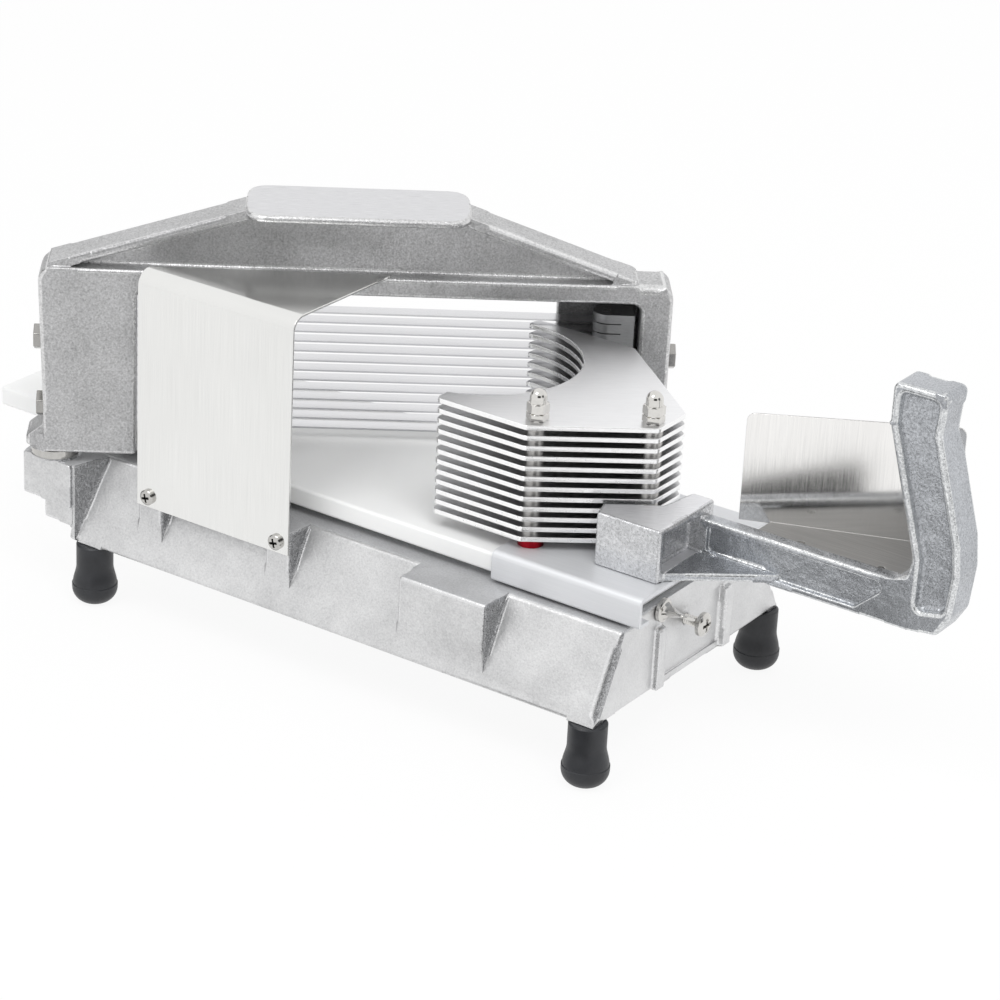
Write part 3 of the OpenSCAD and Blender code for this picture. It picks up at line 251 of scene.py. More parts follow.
def cast_finish(name, colour, grain, depth, rough, contrast, waves, metal=0.9):
    """As-cast aluminium: fine grain in the relief and the tone, scattered dark pits, broad cloudy patches
    and slow waves in the relief."""
    material, tree, shader = new_finish(name)
    at = spot(tree)
    fine = noise(tree, at, grain, 3.0, 0.7)
    broad = noise(tree, at, 30 * MM, 3.0)
    pits = noise(tree, at, 1.7 * grain, 1.0)
    tone = maths(tree, "ADD", spread(tree, fine, -contrast, contrast), spread(tree, broad, -0.10, 0.10))
    bright = blend(tree, spread(tree, tone, 0, 1, -0.5, 0.5), shade(colour, 0.5), shade(colour, 1.5))
    tree.links.new(blend(tree, spread(tree, pits, contrast, 0, 0.30, 0.42), bright, shade(colour, 0.4)),
                   shader.inputs["Base Color"])
    tree.links.new(spread(tree, fine, rough + 0.12, rough - 0.12), shader.inputs["Roughness"])
    shader.inputs["Metallic"].default_value = metal
    height = maths(tree, "ADD", maths(tree, "ADD", fine, pits),
                   maths(tree, "MULTIPLY", noise(tree, at, 9 * MM, 1.0), waves))
    relief(tree, shader, height, depth, 0.6)
    return material


def ground_finish(name, colour, turn, rough=0.34):
    """Metal ground by hand: short streaks across the face."""
    material, tree, shader = new_finish(name)
    at = spot(tree, turn, (9 * MM, 0.35 * MM, 9 * MM))
    streak = noise(tree, at, 1.0, 3.0)
    tree.links.new(blend(tree, spread(tree, streak, 0, 1), shade(colour, 0.86), shade(colour, 1.08)),
                   shader.inputs["Base Color"])
    tree.links.new(spread(tree, streak, rough + 0.08, rough - 0.08), shader.inputs["Roughness"])
    shader.inputs["Metallic"].default_value = 0.95
    relief(tree, shader, streak, 0.05 * MM, 0.25)
    return material


def brushed_finish(name, colour, grain, rough, contrast, turn=0.0, metal=1.0):
    """Brushed sheet: streaks drawn out along the grain, and a faint cloudiness over the whole sheet."""
    cloud = 0.04
    material, tree, shader = new_finish(name)
    at = spot(tree, turn, grain)
    streak = noise(tree, at, 1.0, 4.0, 0.6)
    haze = noise(tree, spot(tree), 60 * MM, 2.0)
    tone = maths(tree, "ADD", maths(tree, "MULTIPLY", streak, 0.7), maths(tree, "MULTIPLY", haze, 0.3))
    paint = blend(tree, spread(tree, tone, 0, 1), shade(colour, 1 - contrast), shade(colour, 1 + contrast))
    tree.links.new(paint, shader.inputs["Base Color"])
    tree.links.new(spread(tree, tone, rough + cloud, rough - cloud), shader.inputs["Roughness"])
    shader.inputs["Metallic"].default_value = metal
    relief(tree, shader, streak, 0.02 * MM, 0.2)
    return material


def plastic_finish(name, colour):
    """White plastic: satin, a little translucent, with faint knife marks along its length."""
    material, tree, shader = new_finish(name)
    marks = noise(tree, spot(tree, 0.1, (60 * MM, 0.8 * MM, 5 * MM)), 1.0, 3.0)
    haze = noise(tree, spot(tree), 90 * MM, 2.0)
    tree.links.new(blend(tree, spread(tree, haze, 0, 1), shade(colour, 0.97), shade(colour, 1.01)),
                   shader.inputs["Base Color"])
    tree.links.new(spread(tree, marks, 0.42, 0.30), shader.inputs["Roughness"])
    shader.inputs["Subsurface Weight"].default_value = 0.25
    shader.inputs["Subsurface Radius"].default_value = (1.0, 1.0, 0.95)
    shader.inputs["Subsurface Scale"].default_value = 3 * MM
    relief(tree, shader, marks, 0.03 * MM, 0.15)
    return material


def rubber_finish(name, colour):
    """Moulded rubber: dull, with a dusty bloom and a fine skin."""
    material, tree, shader = new_finish(name)
    at = spot(tree)
    skin = noise(tree, at, 0.9 * MM, 4.0)
    bloom = noise(tree, at, 14 * MM, 3.0)
    tree.links.new(blend(tree, spread(tree, bloom, 0, 1), shade(colour, 0.85), shade(colour, 1.5)),
                   shader.inputs["Base Color"])
    tree.links.new(spread(tree, skin, 0.50, 0.34), shader.inputs["Roughness"])
    relief(tree, shader, skin, 0.06 * MM, 0.25)
    return material


def plated_finish(name, colour, rough=0.14):
    """Bright plate: smooth, with dull spots."""
    material, tree, shader = new_finish(name)
    spots = noise(tree, spot(tree), 3 * MM, 4.0)
    tree.links.new(blend(tree, spread(tree, spots, 0, 1), shade(colour, 0.95), shade(colour, 1.04)),
                   shader.inputs["Base Color"])
    tree.links.new(spread(tree, spots, rough + 0.05, rough - 0.04), shader.inputs["Roughness"])
    shader.inputs["Metallic"].default_value = 1.0
    return material


# Meshes

def flat_rims(bm):
    """For each facet, the rim of the flat face that it is part of: the ends of its edges that turn."""
    rims, waiting = {}, set(bm.faces)
    while waiting:
        group, queue = set(), [waiting.pop()]
        while queue:
            face = queue.pop()
            group.add(face)
            for edge in face.edges:
                if edge.calc_face_angle(1) >= 2 * FLAT:
                    continue
                near = {f for f in edge.link_faces if f in waiting}
                waiting -= near
                queue.extend(near)
        edges = {e for f in group for e in f.edges if e.calc_face_angle(1) >= 2 * FLAT}
        ends = np.array([[v.co[:] for v in e.verts] for e in edges])
        rims.update(dict.fromkeys(group, ends))
    return rims


def edge_room(edge, rims):
    """Shortest way across the two faces of an edge, square to it, from five spots along it to the next
    rim."""
    a, b = (np.array(v.co) for v in edge.verts)
    length = np.linalg.norm(b - a)
    way = (b - a) / length
    room = np.inf
    for loop in edge.link_loops:
        inwards = np.cross(loop.face.normal, way) * (1 if loop.vert is edge.verts[0] else -1)
        from_a = rims[loop.face] - a
        u, v = from_a @ way, from_a @ inwards
        for share in (0.02, 0.25, 0.5, 0.75, 0.98):
            du = u - share * length
            over = (du[:, 0] > 0) != (du[:, 1] > 0)
            du, dv = du[over], v[over]
            cut = dv[:, 0] + (dv[:, 1] - dv[:, 0]) * du[:, 0] / (du[:, 0] - du[:, 1])
            room = min(room, cut[cut > ON_EDGE].min(initial=np.inf))
    return room


def crossings(faces):
    """Corners of the faces beside which the rim of a face crosses itself."""
    by_count = {}
    for face in faces:
        by_count.setdefault(len(face.verts), []).append(face)
    found = [np.empty((0, 3))]
    for count, group in by_count.items():
        points = np.array([[v.co[:] for v in f.verts] for f in group])
        normal = np.array([f.normal[:] for f in group])
        across = np.cross(normal, np.eye(3)[np.argmin(np.abs(normal), axis=1)])
        axes = (across, np.cross(normal, across))
        p = np.stack([np.einsum("fvk,fk->fv", points, axis) for axis in axes], axis=-1)
        way = np.roll(p, -1, axis=1) - p
        to = p[:, None] - p[:, :, None]
        side = way[:, :, None, 0] * to[..., 1] - way[:, :, None, 1] * to[..., 0]
        split = side * np.roll(side, -1, axis=2) < -TOUCH
        found.append(points[(split & split.transpose(0, 2, 1)).any(axis=2)])
    return np.concatenate(found)


def rounded(bm, width, segments, slot, keep):
    """The mesh with a strip of arc in place of each sharp edge that the rule keeps and whose faces have
    room. Where a face would cross itself, the edges near that place stay sharp."""
    bm.normal_update()
    rims = flat_rims(bm)
    sharp = [e for e in bm.edges if e.calc_face_angle(0) > SHARP and e.calc_length() > MERGE]
    chosen = [e for e in sharp if keep(width, e) and edge_room(e, rims) > ROOM * width]
    bm.edges.index_update()
    for _ in range(TRIES):
        trial = bm.copy()
        trial.edges.ensure_lookup_table()
        bmesh.ops.bevel(trial, geom=[trial.edges[e.index] for e in chosen], offset=width,
                        offset_type="OFFSET", segments=segments, profile=0.5, affect="EDGES",
                        clamp_overlap=False, material=slot)
        trial.normal_update()
        spots = crossings([f for f in trial.faces if len(f.verts) > 3])
        if not len(spots):
            bm.free()
            return trial
        trial.free()
        ends = np.array([[v.co[:] for v in e.verts] for e in chosen])
        gaps = np.linalg.norm(ends[:, :, None] - spots, axis=-1).min(axis=(1, 2))
        chosen = [e for e, gap in zip(chosen, gaps) if gap > min(2 * width, REACH)]
    return bm


def softened(node, widths, finishes, segments=2, keep=lambda width, edge: True):
    """Copy of a CAD node with its sharp edges rounded by the first of the widths that fits. The strips take
    the last finish. Doubled faces are taken out and the shading is evened."""
    bm = bmesh.new()
    bm.from_mesh(NODES[node].data)
    bmesh.ops.remove_doubles(bm, verts=bm.verts, dist=MERGE)
    bmesh.ops.dissolve_limit(bm, angle_limit=FLAT, verts=bm.verts, edges=bm.edges)
    thin = {f for f in bm.faces if f.calc_area() < SLIVER * f.calc_perimeter()
            and f.calc_center_median().z > DECK_FOOT}
    bmesh.ops.dissolve_verts(bm, verts=[v for v in bm.verts if thin.intersection(v.link_faces)])
    for edge in [e for e in bm.edges if e.calc_face_angle(0) > SHARP]:
        step = FINE_SPLIT if len(widths) > 1 and keep(widths[0], edge) else SPLIT
        if edge.calc_length() > step:
            bmesh.ops.subdivide_edges(bm, edges=[edge], cuts=int(edge.calc_length() / step))
    for width in widths:
        bm = rounded(bm, width, segments, len(finishes) - 1, keep)
    bmesh.ops.dissolve_degenerate(bm, dist=MERGE, edges=bm.edges)
    bmesh.ops.triangulate(bm, faces=[f for f in bm.faces if len(f.verts) > 4])
    uses = Counter(frozenset(f.verts) for f in bm.faces)
    bmesh.ops.delete(bm, geom=[f for f in bm.faces if uses[frozenset(f.verts)] > 1], context="FACES")
    mesh = bpy.data.meshes.new(node + "_skin")
    bm.to_mesh(mesh)
    bm.free()
    piece = finished(mesh, finishes, node)
    even = piece.modifiers.new("even_shading", "WEIGHTED_NORMAL")
    even.weight = 100
    even.keep_sharp = True
    return piece


def finished(mesh, finishes, node):
    """Object of a mesh with its finishes, smooth up to sharp edges, riding in place of a CAD node."""
    mesh.shade_smooth()
    mesh.set_sharp_from_angle(angle=SHARP)
    for finish in finishes:
        mesh.materials.append(finish)
    piece = bpy.data.objects.new(mesh.name, mesh)
    bpy.context.scene.collection.objects.link(piece)
    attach(piece, BODIES[node])
    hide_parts(node)
    return piece


def repaint(piece, slot, chosen):
    """A finish of the piece on the faces that a rule picks by their centre and normal."""
    polygons = piece.data.polygons
    centre, normal = np.empty(len(polygons) * 3), np.empty(len(polygons) * 3)
    slots = np.empty(len(polygons), dtype=np.int32)
    polygons.foreach_get("center", centre)
    polygons.foreach_get("normal", normal)
    polygons.foreach_get("material_index", slots)
    slots[chosen(centre.reshape(-1, 3), normal.reshape(-1, 3))] = slot
    polygons.foreach_set("material_index", slots)


def dress(finish, *nodes):
    """The finish on CAD nodes whose shape stays."""
    for node in nodes:
        mesh = NODES[node].data
        mesh.materials.clear()
        mesh.materials.append(finish)


def round_grid(name, rows):
    """Closed mesh of a grid of points: each row runs once round the axis, and the end rows close on their
    middles."""
    count, sides = rows.shape[:2]
    index = np.arange(count * sides).reshape(count, sides)
    ahead = np.roll(index, -1, axis=1)
    quads = np.stack([index[:-1], ahead[:-1], ahead[1:], index[1:]], axis=-1).reshape(-1, 4)
    ends = count * sides + np.array([0, 1])
    first = np.stack([ahead[0], index[0], np.full(sides, ends[0])], axis=-1)
    last = np.stack([index[-1], ahead[-1], np.full(sides, ends[1])], axis=-1)
    points = np.concatenate([rows.reshape(-1, 3), rows[[0, -1]].mean(axis=1)])
    mesh = bpy.data.meshes.new(name)
    mesh.from_pydata(points.tolist(), [], quads.tolist() + first.tolist() + last.tolist())
    return mesh


def joined(name, meshes):
    """One mesh of several, with doubles merged and faces turned outwards."""
    bm = bmesh.new()
    for mesh in meshes:
        bm.from_mesh(mesh)
        bpy.data.meshes.remove(mesh)
    bmesh.ops.remove_doubles(bm, verts=bm.verts, dist=MERGE)
    bmesh.ops.recalc_face_normals(bm, faces=bm.faces)
    made = bpy.data.meshes.new(name)
    bm.to_mesh(made)
    bm.free()
    return made


def circle(sides):
    """Angles once round."""
    return np.linspace(0, 2 * np.pi, sides, endpoint=False)


def turned(name, profile, sides=72):
    """Surface of revolution: the point at angle a and step i is (r_i cos a, r_i sin a, z_i)."""
    profile = np.asarray(profile, float)
    a = circle(sides)
    r, z = profile[:, :1], profile[:, 1:]
    rows = np.stack([r * np.cos(a), r * np.sin(a), np.broadcast_to(z, (len(profile), sides))], axis=-1)
    return round_grid(name, rows)


def hexagonal(name, flats, profile, sides=96):
    """Hexagonal nut: the radius at angle a and step i is the smaller of the hexagon's and of the profile's
    r_i."""
    profile = np.asarray(profile, float)
    a = circle(sides)
    hexagon = flats / 2 / np.cos((a + np.pi / 6) % (np.pi / 3) - np.pi / 6)
    r = np.minimum(hexagon, profile[:, :1])
    z = np.broadcast_to(profile[:, 1:], r.shape)
    return round_grid(name, np.stack([r * np.cos(a), r * np.sin(a), z], axis=-1))


def threaded(name, diameter, pitch, depth, length, sides=48, steps=14):
    """Thread: the radius at angle a and height z falls from the crest by depth times the triangle wave of
    z / pitch - a / 360 degrees."""
    a = circle(sides)
    z = np.linspace(0, length, int(length / pitch * steps))[:, None]
    wave = np.abs(2 * ((z / pitch - a / (2 * np.pi)) % 1) - 1)
    r = diameter / 2 - depth * wave
    return round_grid(name, np.stack([r * np.cos(a), r * np.sin(a), np.broadcast_to(z, r.shape)], axis=-1))


def pan_head(name, diameter, height, sides=96, steps=30):
    """Screw head: a dome whose height falls with the fourth power of the radius, less a cross of sloping
    walls, which takes the second finish."""
    arm, reach, slope = 0.075 * diameter, 0.29 * diameter, 0.035 * diameter
    fall, depth, rim_height = 0.45 * height, 0.6 * height, 0.28 * height
    a = circle(sides)
    share = np.linspace(0.02, 1, steps)[:, None]
    r = np.broadcast_to(share * diameter / 2, (steps, sides))
    x, y = np.abs(r * np.cos(a)), np.abs(r * np.sin(a))
    wide, narrow = np.maximum(x, y), np.minimum(x, y)
    cross = np.clip((arm - narrow) / slope, 0, 1) * np.clip((reach - wide) / slope, 0, 1)
    z = height - fall * share ** 4 - depth * cross
    top = np.stack([r * np.cos(a), r * np.sin(a), z], axis=-1)
    rim_r = np.full((2, 1), diameter / 2)
    rim_z = np.broadcast_to([[rim_height], [0]], (2, sides))
    side = np.stack([rim_r * np.cos(a), rim_r * np.sin(a), rim_z], axis=-1)
    mesh = round_grid(name, np.concatenate([top, side]))
    deep = np.zeros(len(mesh.polygons), dtype=np.int32)
    deep[:(steps - 1) * sides] = (cross[:-1] + cross[1:] > 1).ravel()
    deep[-2 * sides:-sides] = 1
    mesh.polygons.foreach_set("material_index", deep)
    return mesh


def oval_loft(name, stations, sides=64):
    """Loft along X: at each station (x, half width, half thickness, power) the section is a superellipse."""
    x, wide, thick, power = (np.asarray(stations, float)[:, k:k + 1] for k in range(4))
    a = circle(sides)
    c, s = np.cos(a), np.sin(a)
    y = wide * np.sign(c) * np.abs(c) ** (2 / power)
    z = thick * np.sign(s) * np.abs(s) ** (2 / power)
    return round_grid(name, np.stack([np.broadcast_to(x, y.shape), y, z], axis=-1))


def middle(node):
    """Centre of a CAD node's box."""
    low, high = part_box(node)
    return (low + high) / 2


def along(direction):
    """Turn that carries +Z to a direction."""
    return Vector((0, 0, 1)).rotation_difference(Vector(direction)).to_matrix().to_4x4()


# Pieces

class SLICER_OT_stage(bpy.types.Operator):
    """White surroundings, a floor that keeps the shadow, soft lamps and the camera"""
    bl_idname = "slicer.stage"
    bl_label = "Stage"

    def execute(self, context):
        scene, studio = context.scene, context.scene.slicer_studio
        scene.view_settings.view_transform = "Standard"
        self.surroundings(scene, studio)
        self.floor(scene, studio)
        self.lamp(scene, "key_lamp", studio.key, size=0.9, place=(-0.2, -1.2, 2.0), mirrored=True)
        self.lamp(scene, "front_lamp", studio.front, size=1.2, place=(1.2, -0.9, 2.2), mirrored=False)
        self.lamp(scene, "back_lamp", studio.back, size=1.4, place=(-0.4, 1.5, 1.6), mirrored=False)
        self.cards(scene, studio)
        self.camera(scene, studio)
        return {"FINISHED"}

    @staticmethod
    def seen(tree):
        """1 for rays from the camera, a reflection or a clear body, else 0."""
        path = add(tree, "ShaderNodeLightPath").outputs
        mirrored = maths(tree, "MAXIMUM", path["Is Glossy Ray"], path["Is Transmission Ray"])
        return maths(tree, "MAXIMUM", path["Is Camera Ray"], mirrored)

    def surroundings(self, scene, studio):
        """Plain white where it is seen, and a dimmer white as light."""
        world = bpy.data.worlds.new("white_studio")
        scene.world = world
        world.use_nodes = True
        tree = world.node_tree
        tree.nodes.clear()
        light = add(tree, "ShaderNodeBackground", {"Color": (1, 1, 1, 1), "Strength": studio.sky})
        white = add(tree, "ShaderNodeBackground", {"Color": (1, 1, 1, 1), "Strength": 1.0})
        share = self.seen(tree)
        mix = add(tree, "ShaderNodeMixShader", {0: share, 1: light.outputs[0], 2: white.outputs[0]})
        add(tree, "ShaderNodeOutputWorld", {"Surface": mix.outputs[0]})

    def floor(self, scene, studio):
        """White floor that takes a soft shadow."""
        reach = 6.0
        mesh = bpy.data.meshes.new("floor")
        corners = [(-reach, -reach, 0), (reach, -reach, 0), (reach, reach, 0), (-reach, reach, 0)]
        mesh.from_pydata(corners, [], [(0, 1, 2, 3)])
        material, tree = bare_finish("pale_floor")
        paint = add(tree, "ShaderNodeBsdfDiffuse", {"Color": (0.9, 0.9, 0.9, 1)})
        white = add(tree, "ShaderNodeEmission", {"Color": (1, 1, 1, 1), "Strength": 1.0})
        share = maths(tree, "MULTIPLY", self.seen(tree), studio.glow)
        mix = add(tree, "ShaderNodeMixShader", {0: share, 1: paint.outputs[0], 2: white.outputs[0]})
        add(tree, "ShaderNodeOutputMaterial", {"Surface": mix.outputs[0]})
        mesh.materials.append(material)
        floor = bpy.data.objects.new("floor", mesh)
        scene.collection.objects.link(floor)

    def cards(self, scene, studio):
        """Dark cards that only mirroring metal sees: three upright ones and two strips on the floor."""
        material, tree = bare_finish("dark_card")
        grey = add(tree, "ShaderNodeEmission", {"Color": (1, 1, 1, 1), "Strength": studio.card})
        add(tree, "ShaderNodeOutputMaterial", {"Surface": grey.outputs[0]})
        foot, top = 0.3, 1.5
        walls = {"camera_card": ((0.85, -2.25), (2.3, -1.2)), "left_card": ((-2.5, -0.9), (-2.4, 0.9)),
                 "right_card": ((2.5, -0.5), (2.5, 0.7))}
        strips = {"far_strip": ((0.20, -0.291), (0.39, -0.353), (0.375, -0.289), (0.20, -0.235)),
                  "near_strip": ((0.07, -0.23), (0.26, -0.23), (0.26, -0.14), (0.07, -0.14))}
        corners = {name: [(*a, foot), (*b, foot), (*b, top), (*a, top)] for name, (a, b) in walls.items()}
        corners.update({name: [(*place, MM) for place in places] for name, places in strips.items()})
        for name, places in corners.items():
            mesh = bpy.data.meshes.new(name)
            mesh.from_pydata(places, [], [(0, 1, 2, 3)])
            mesh.materials.append(material)
            card = bpy.data.objects.new(name, mesh)
            scene.collection.objects.link(card)
            card.visible_camera = False
            card.visible_diffuse = False
            card.visible_transmission = False
            card.visible_shadow = False

    def lamp(self, scene, name, power, size, place, mirrored):
        """Square lamp aimed at the middle of the slicer."""
        light = bpy.data.lights.new(name, "AREA")
        light.energy = power
        light.size = size
        lamp = bpy.data.objects.new(name, light)
        scene.collection.objects.link(lamp)
        lamp.location = place
        lamp.visible_glossy = mirrored
        aim = Vector((0, 0, 0.12)) - Vector(place)
        lamp.rotation_euler = aim.to_track_quat("-Z", "Y").to_euler()

    def camera(self, scene, studio):
        """Camera with the view's turn, tilt and roll."""
        cam = bpy.data.cameras.new("camera")
        cam.lens = studio.lens
        cam.sensor_width = 36.0
        cam.clip_end = 50.0
        obj = bpy.data.objects.new("camera", cam)
        scene.collection.objects.link(obj)
        turn, tilt = studio.turn, studio.tilt
        ahead = Vector((-math.sin(turn) * math.cos(tilt), math.cos(turn) * math.cos(tilt), -math.sin(tilt)))
        right = Vector((math.cos(turn), math.sin(turn), 0))
        up = right.cross(ahead)
        c, s = math.cos(studio.roll), math.sin(studio.roll)
        side = c * right + s * up
        top = c * up - s * right
        turned_to = Matrix((side, top, -ahead)).transposed().to_4x4()
        obj.matrix_world = Matrix.Translation(Vector(studio.place)) @ turned_to
        scene.camera = obj


class SLICER_OT_castings(bpy.types.Operator):
    """Base, blade frame and handle, with rounded edges and cast grain"""
    bl_idname = "slicer.castings"
    bl_label = "Castings"

    def execute(self, context):
        colours, sizes = context.scene.slicer_colours, context.scene.slicer_sizes
        self.base(colours, sizes)
        self.blade_frame(colours, sizes)
        self.handle(colours, sizes)
        return {"FINISHED"}

    def base(self, colours, sizes):
        """Base with a dull deck, a smooth handle end and painted shade on its flanks."""
        colour, waves = colours.base, 2.0
        piece = self.skin("base_casting", colour, sizes, self.on_corner, depth=0.20 * MM, rough=0.42,
                          contrast=0.10, waves=waves)
        deck = cast_finish("deck_metal", shade(colour, 0.7), sizes.grain, depth=0.2 * MM, rough=0.5,
                           contrast=0.1, waves=waves, metal=0.3)
        end = cast_finish("end_metal", shade(colour, 1.2), sizes.grain, depth=0.1 * MM, rough=0.38,
                          contrast=0.05, waves=waves)
        # Painted shade: faces of the near side that look towards the handle take a darker, grainier finish.
        flank = cast_finish("shaded_flank_metal", shade(colour, 0.6), 0.9 * sizes.grain, depth=0.4 * MM, rough=0.28,
                            contrast=0.5, waves=waves)
        self.grind(piece, deck, lambda centre, normal: (centre[:, 2] > DECK) & (normal[:, 2] > 0.9))
        self.grind(piece, end, lambda centre, normal: (centre[:, 0] > END_FACE) & (normal[:, 0] > 0.95))
        self.grind(piece, flank, self.on_flank)

    def blade_frame(self, colours, sizes):
        """Blade frame with a ground top plate, a painted highlight on its ledge, painted shade on its inner wall,
        and ribs with painted shade on one side and a painted highlight on the other."""
        colour, look = colours.arch, {"contrast": 0.24, "waves": 2.0}
        piece = self.skin("blade_frame", colour, sizes, self.on_slope, depth=0.26 * MM, rough=0.42, **look)
        ground = ground_finish("ground_face", colours.ground, BLADE_ANGLE)
        # Painted highlight: the ledge takes a paler, less metallic finish in place of the light on a fillet at the
        # foot of the web.
        ledge = cast_finish("highlit_ledge_metal", shade(colour, 1.5), sizes.grain, depth=0.3 * MM, rough=0.5,
                            contrast=0.2, waves=2.0, metal=0.4)
        # Painted shade: camera-facing walls set back behind the frame's front take a much darker finish.
        inner = cast_finish("shaded_inner_metal", shade(colour, 0.35), sizes.grain, depth=0.3 * MM, rough=0.5,
                            **look)
        # Painted light on the ribs: sloping faces that lean back along the frame take a darker finish (painted
        # shade), those that lean forward along it a paler, less metallic one (painted highlight).
        dull = cast_finish("shaded_rib_metal", shade(colour, 0.8), sizes.grain, depth=0.3 * MM, rough=0.5, **look)
        pale = cast_finish("highlit_rib_metal", shade(colour, 1.7), sizes.grain, depth=0.3 * MM, rough=0.4,
                           metal=0.5, **look)
        self.grind(piece, ground, lambda centre, normal: (centre[:, 2] > PLATE_FOOT) & (normal[:, 2] > 0.99))
        self.grind(piece, ledge, lambda centre, normal: (centre[:, 2] > LEDGE_FOOT)
                   & (centre[:, 2] < RIB_FOOT) & (normal[:, 2] > 0.8))
        self.grind(piece, inner, lambda centre, normal: (centre @ OUT_OF_ARCH < INNER_WALL)
                   & (normal @ OUT_OF_ARCH > 0.9))
        self.grind(piece, dull, lambda centre, normal: self.on_rib(centre, normal, -ALONG_ARCH))
        self.grind(piece, pale, lambda centre, normal: self.on_rib(centre, normal, ALONG_ARCH))

    def handle(self, colours, sizes):
        """Handle with a pale root, ground on top, a pitted recess in the grip with painted shade, and a darker rim
        round it.
        """
        colour, look = colours.handle, {"rough": 0.27, "contrast": 0.26, "waves": 4.0}
        piece = self.skin("handle_casting", colour, sizes, self.on_slope, depth=0.20 * MM, **look)
        root = cast_finish("root_metal", shade(colours.base, 0.9), sizes.grain, depth=0.20 * MM, **look)
        # The grip's recess takes a darker finish with stronger pits: painted shade in the recess along with its
        # pitting.
        pocket = cast_finish("shaded_pitted_pocket_metal", shade(colour, 0.9), sizes.grain, depth=0.3 * MM, rough=0.24,
                             contrast=0.36, waves=4.0)
        rim = cast_finish("rim_metal", shade(colour, 0.85), sizes.grain, depth=0.20 * MM, **look)
        polished = ground_finish("root_top", shade(colours.ground, 1.2), BLADE_ANGLE, rough=0.5)
        self.grind(piece, root, lambda centre, normal: centre[:, 0] < ROOT_END)
        self.grind(piece, pocket, lambda centre, normal: (centre[:, 0] > GRIP_START)
                   & (centre[:, 1] > RIM_BACK) & (centre[:, 1] < RECESS_BACK) & (normal[:, 1] < -0.3))
        self.grind(piece, rim, lambda centre, normal: (centre[:, 0] > GRIP_START)
                   & (centre[:, 1] <= RIM_BACK) & (normal[:, 1] < -0.97))
        self.grind(piece, polished, lambda centre, normal: (centre[:, 0] < ROOT_END) & (normal[:, 2] > 0.99))

    @staticmethod
    def skin(node, colour, sizes, wide, depth, rough, contrast, waves):
        """Copy of a casting whose rounded edges are paler and smoother, partly wear and partly a painted
        highlight. The widest strips are for edges whose ends both pass a rule."""
        metal = cast_finish(node + "_metal", colour, sizes.grain, depth, rough, contrast, waves)
        # Paler edge strips: partly wear, partly a painted highlight along the rounded edges.
        worn_and_highlit = cast_finish(node + "_edge", shade(colour, 1.4), sizes.grain, depth, rough - 0.10,
                           1.3 * contrast, waves)
        cast = sizes.cast_edge
        widths = (sizes.rib_edge, 1.5 * cast, cast, cast / 2, sizes.fine_edge)

        def keep(width, edge):
            return width < sizes.rib_edge or wide(np.array([v.co[:] for v in edge.verts])).all()

        return softened(node, widths, (metal, worn_and_highlit), segments=3, keep=keep)

    @staticmethod
    def on_corner(points):
        """By the near corner of the base's handle end."""
        return (points[:, 0] > END_FACE) & (points[:, 1] < NEAR_CORNER)

    @staticmethod
    def on_slope(points):
        """At the height of the frame's sloping ribs, which the top of the grip shares."""
        return (points[:, 2] > RIB_FOOT) & (points[:, 2] < PLATE_FOOT)

    @staticmethod
    def on_flank(centre, normal):
        """Near side of the base where it looks to the handle, which takes painted shade: the bosses' flanks and
        part of the corner.
        """
        looks_right = (normal[:, 0] > 0.3) & (normal[:, 1] < 0.2)
        in_part = (centre[:, 0] < CORNER_START) | (normal[:, 1] < -0.15)
        return (centre[:, 1] < NEAR_SIDE) & looks_right & in_part

    def on_rib(self, centre, normal, way):
        """Sloping faces on the front of the frame that lean to one way along it."""
        sloping = (np.abs(normal[:, 2] - 0.5) < 0.38) & (normal[:, 1] < 0)
        return self.on_slope(centre) & sloping & (normal @ way > 0.03)

    @staticmethod
    def grind(piece, finish, chosen):
        """One more finish, on the faces that a rule picks."""
        piece.data.materials.append(finish)
        repaint(piece, len(piece.data.materials) - 1, chosen)


class SLICER_OT_board(bpy.types.Operator):
    """Slide board of white plastic"""
    bl_idname = "slicer.board"
    bl_label = "Slide board"

    def execute(self, context):
        finish = plastic_finish("board_plastic", context.scene.slicer_colours.board)
        softened("slide_board", (1.0 * MM,), (finish,), segments=3)
        return {"FINISHED"}


class SLICER_OT_feet(bpy.types.Operator):
    """Four rubber feet, turned from one profile"""
    bl_idname = "slicer.feet"
    bl_label = "Feet"

    def execute(self, context):
        finish = rubber_finish("foot_rubber", context.scene.slicer_colours.rubber)
        for node in FEET:
            low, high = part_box(node)
            mesh = turned(node + "_skin", self.profile(high.z - low.z, (high.x - low.x) / 2))
            mesh.transform(Matrix.Translation(((low.x + high.x) / 2, (low.y + high.y) / 2, low.z)))
            finished(joined(node + "_skin", [mesh]), (finish,), node)
        return {"FINISHED"}

    @staticmethod
    def profile(height, bulb):
        """Radius by height: a flat sole, a quarter circle up to the bulb, a small lip, a smooth fall to the
        neck and a chamfer."""
        sole, neck, chamfer = 4 * MM, 11.5 * MM, 0.8 * MM
        lip_height, lip_step = 12.7 * MM, 0.5 * MM
        fall_foot, fall_height = 13 * MM, 12 * MM
        arc = bulb - sole
        a = np.linspace(0, np.pi / 2, 14)
        under = np.stack([sole + arc * np.sin(a), arc - arc * np.cos(a)], axis=-1)
        t = np.linspace(0, 1, 24)
        fall = t * t * (3 - 2 * t)
        shoulder = bulb - lip_step
        flank = np.stack([shoulder + (neck - shoulder) * fall, fall_foot + t * fall_height], axis=-1)
        top = [(neck, height - chamfer), (neck - chamfer, height)]
        return np.concatenate([under, [(bulb, lip_height)], flank, top])


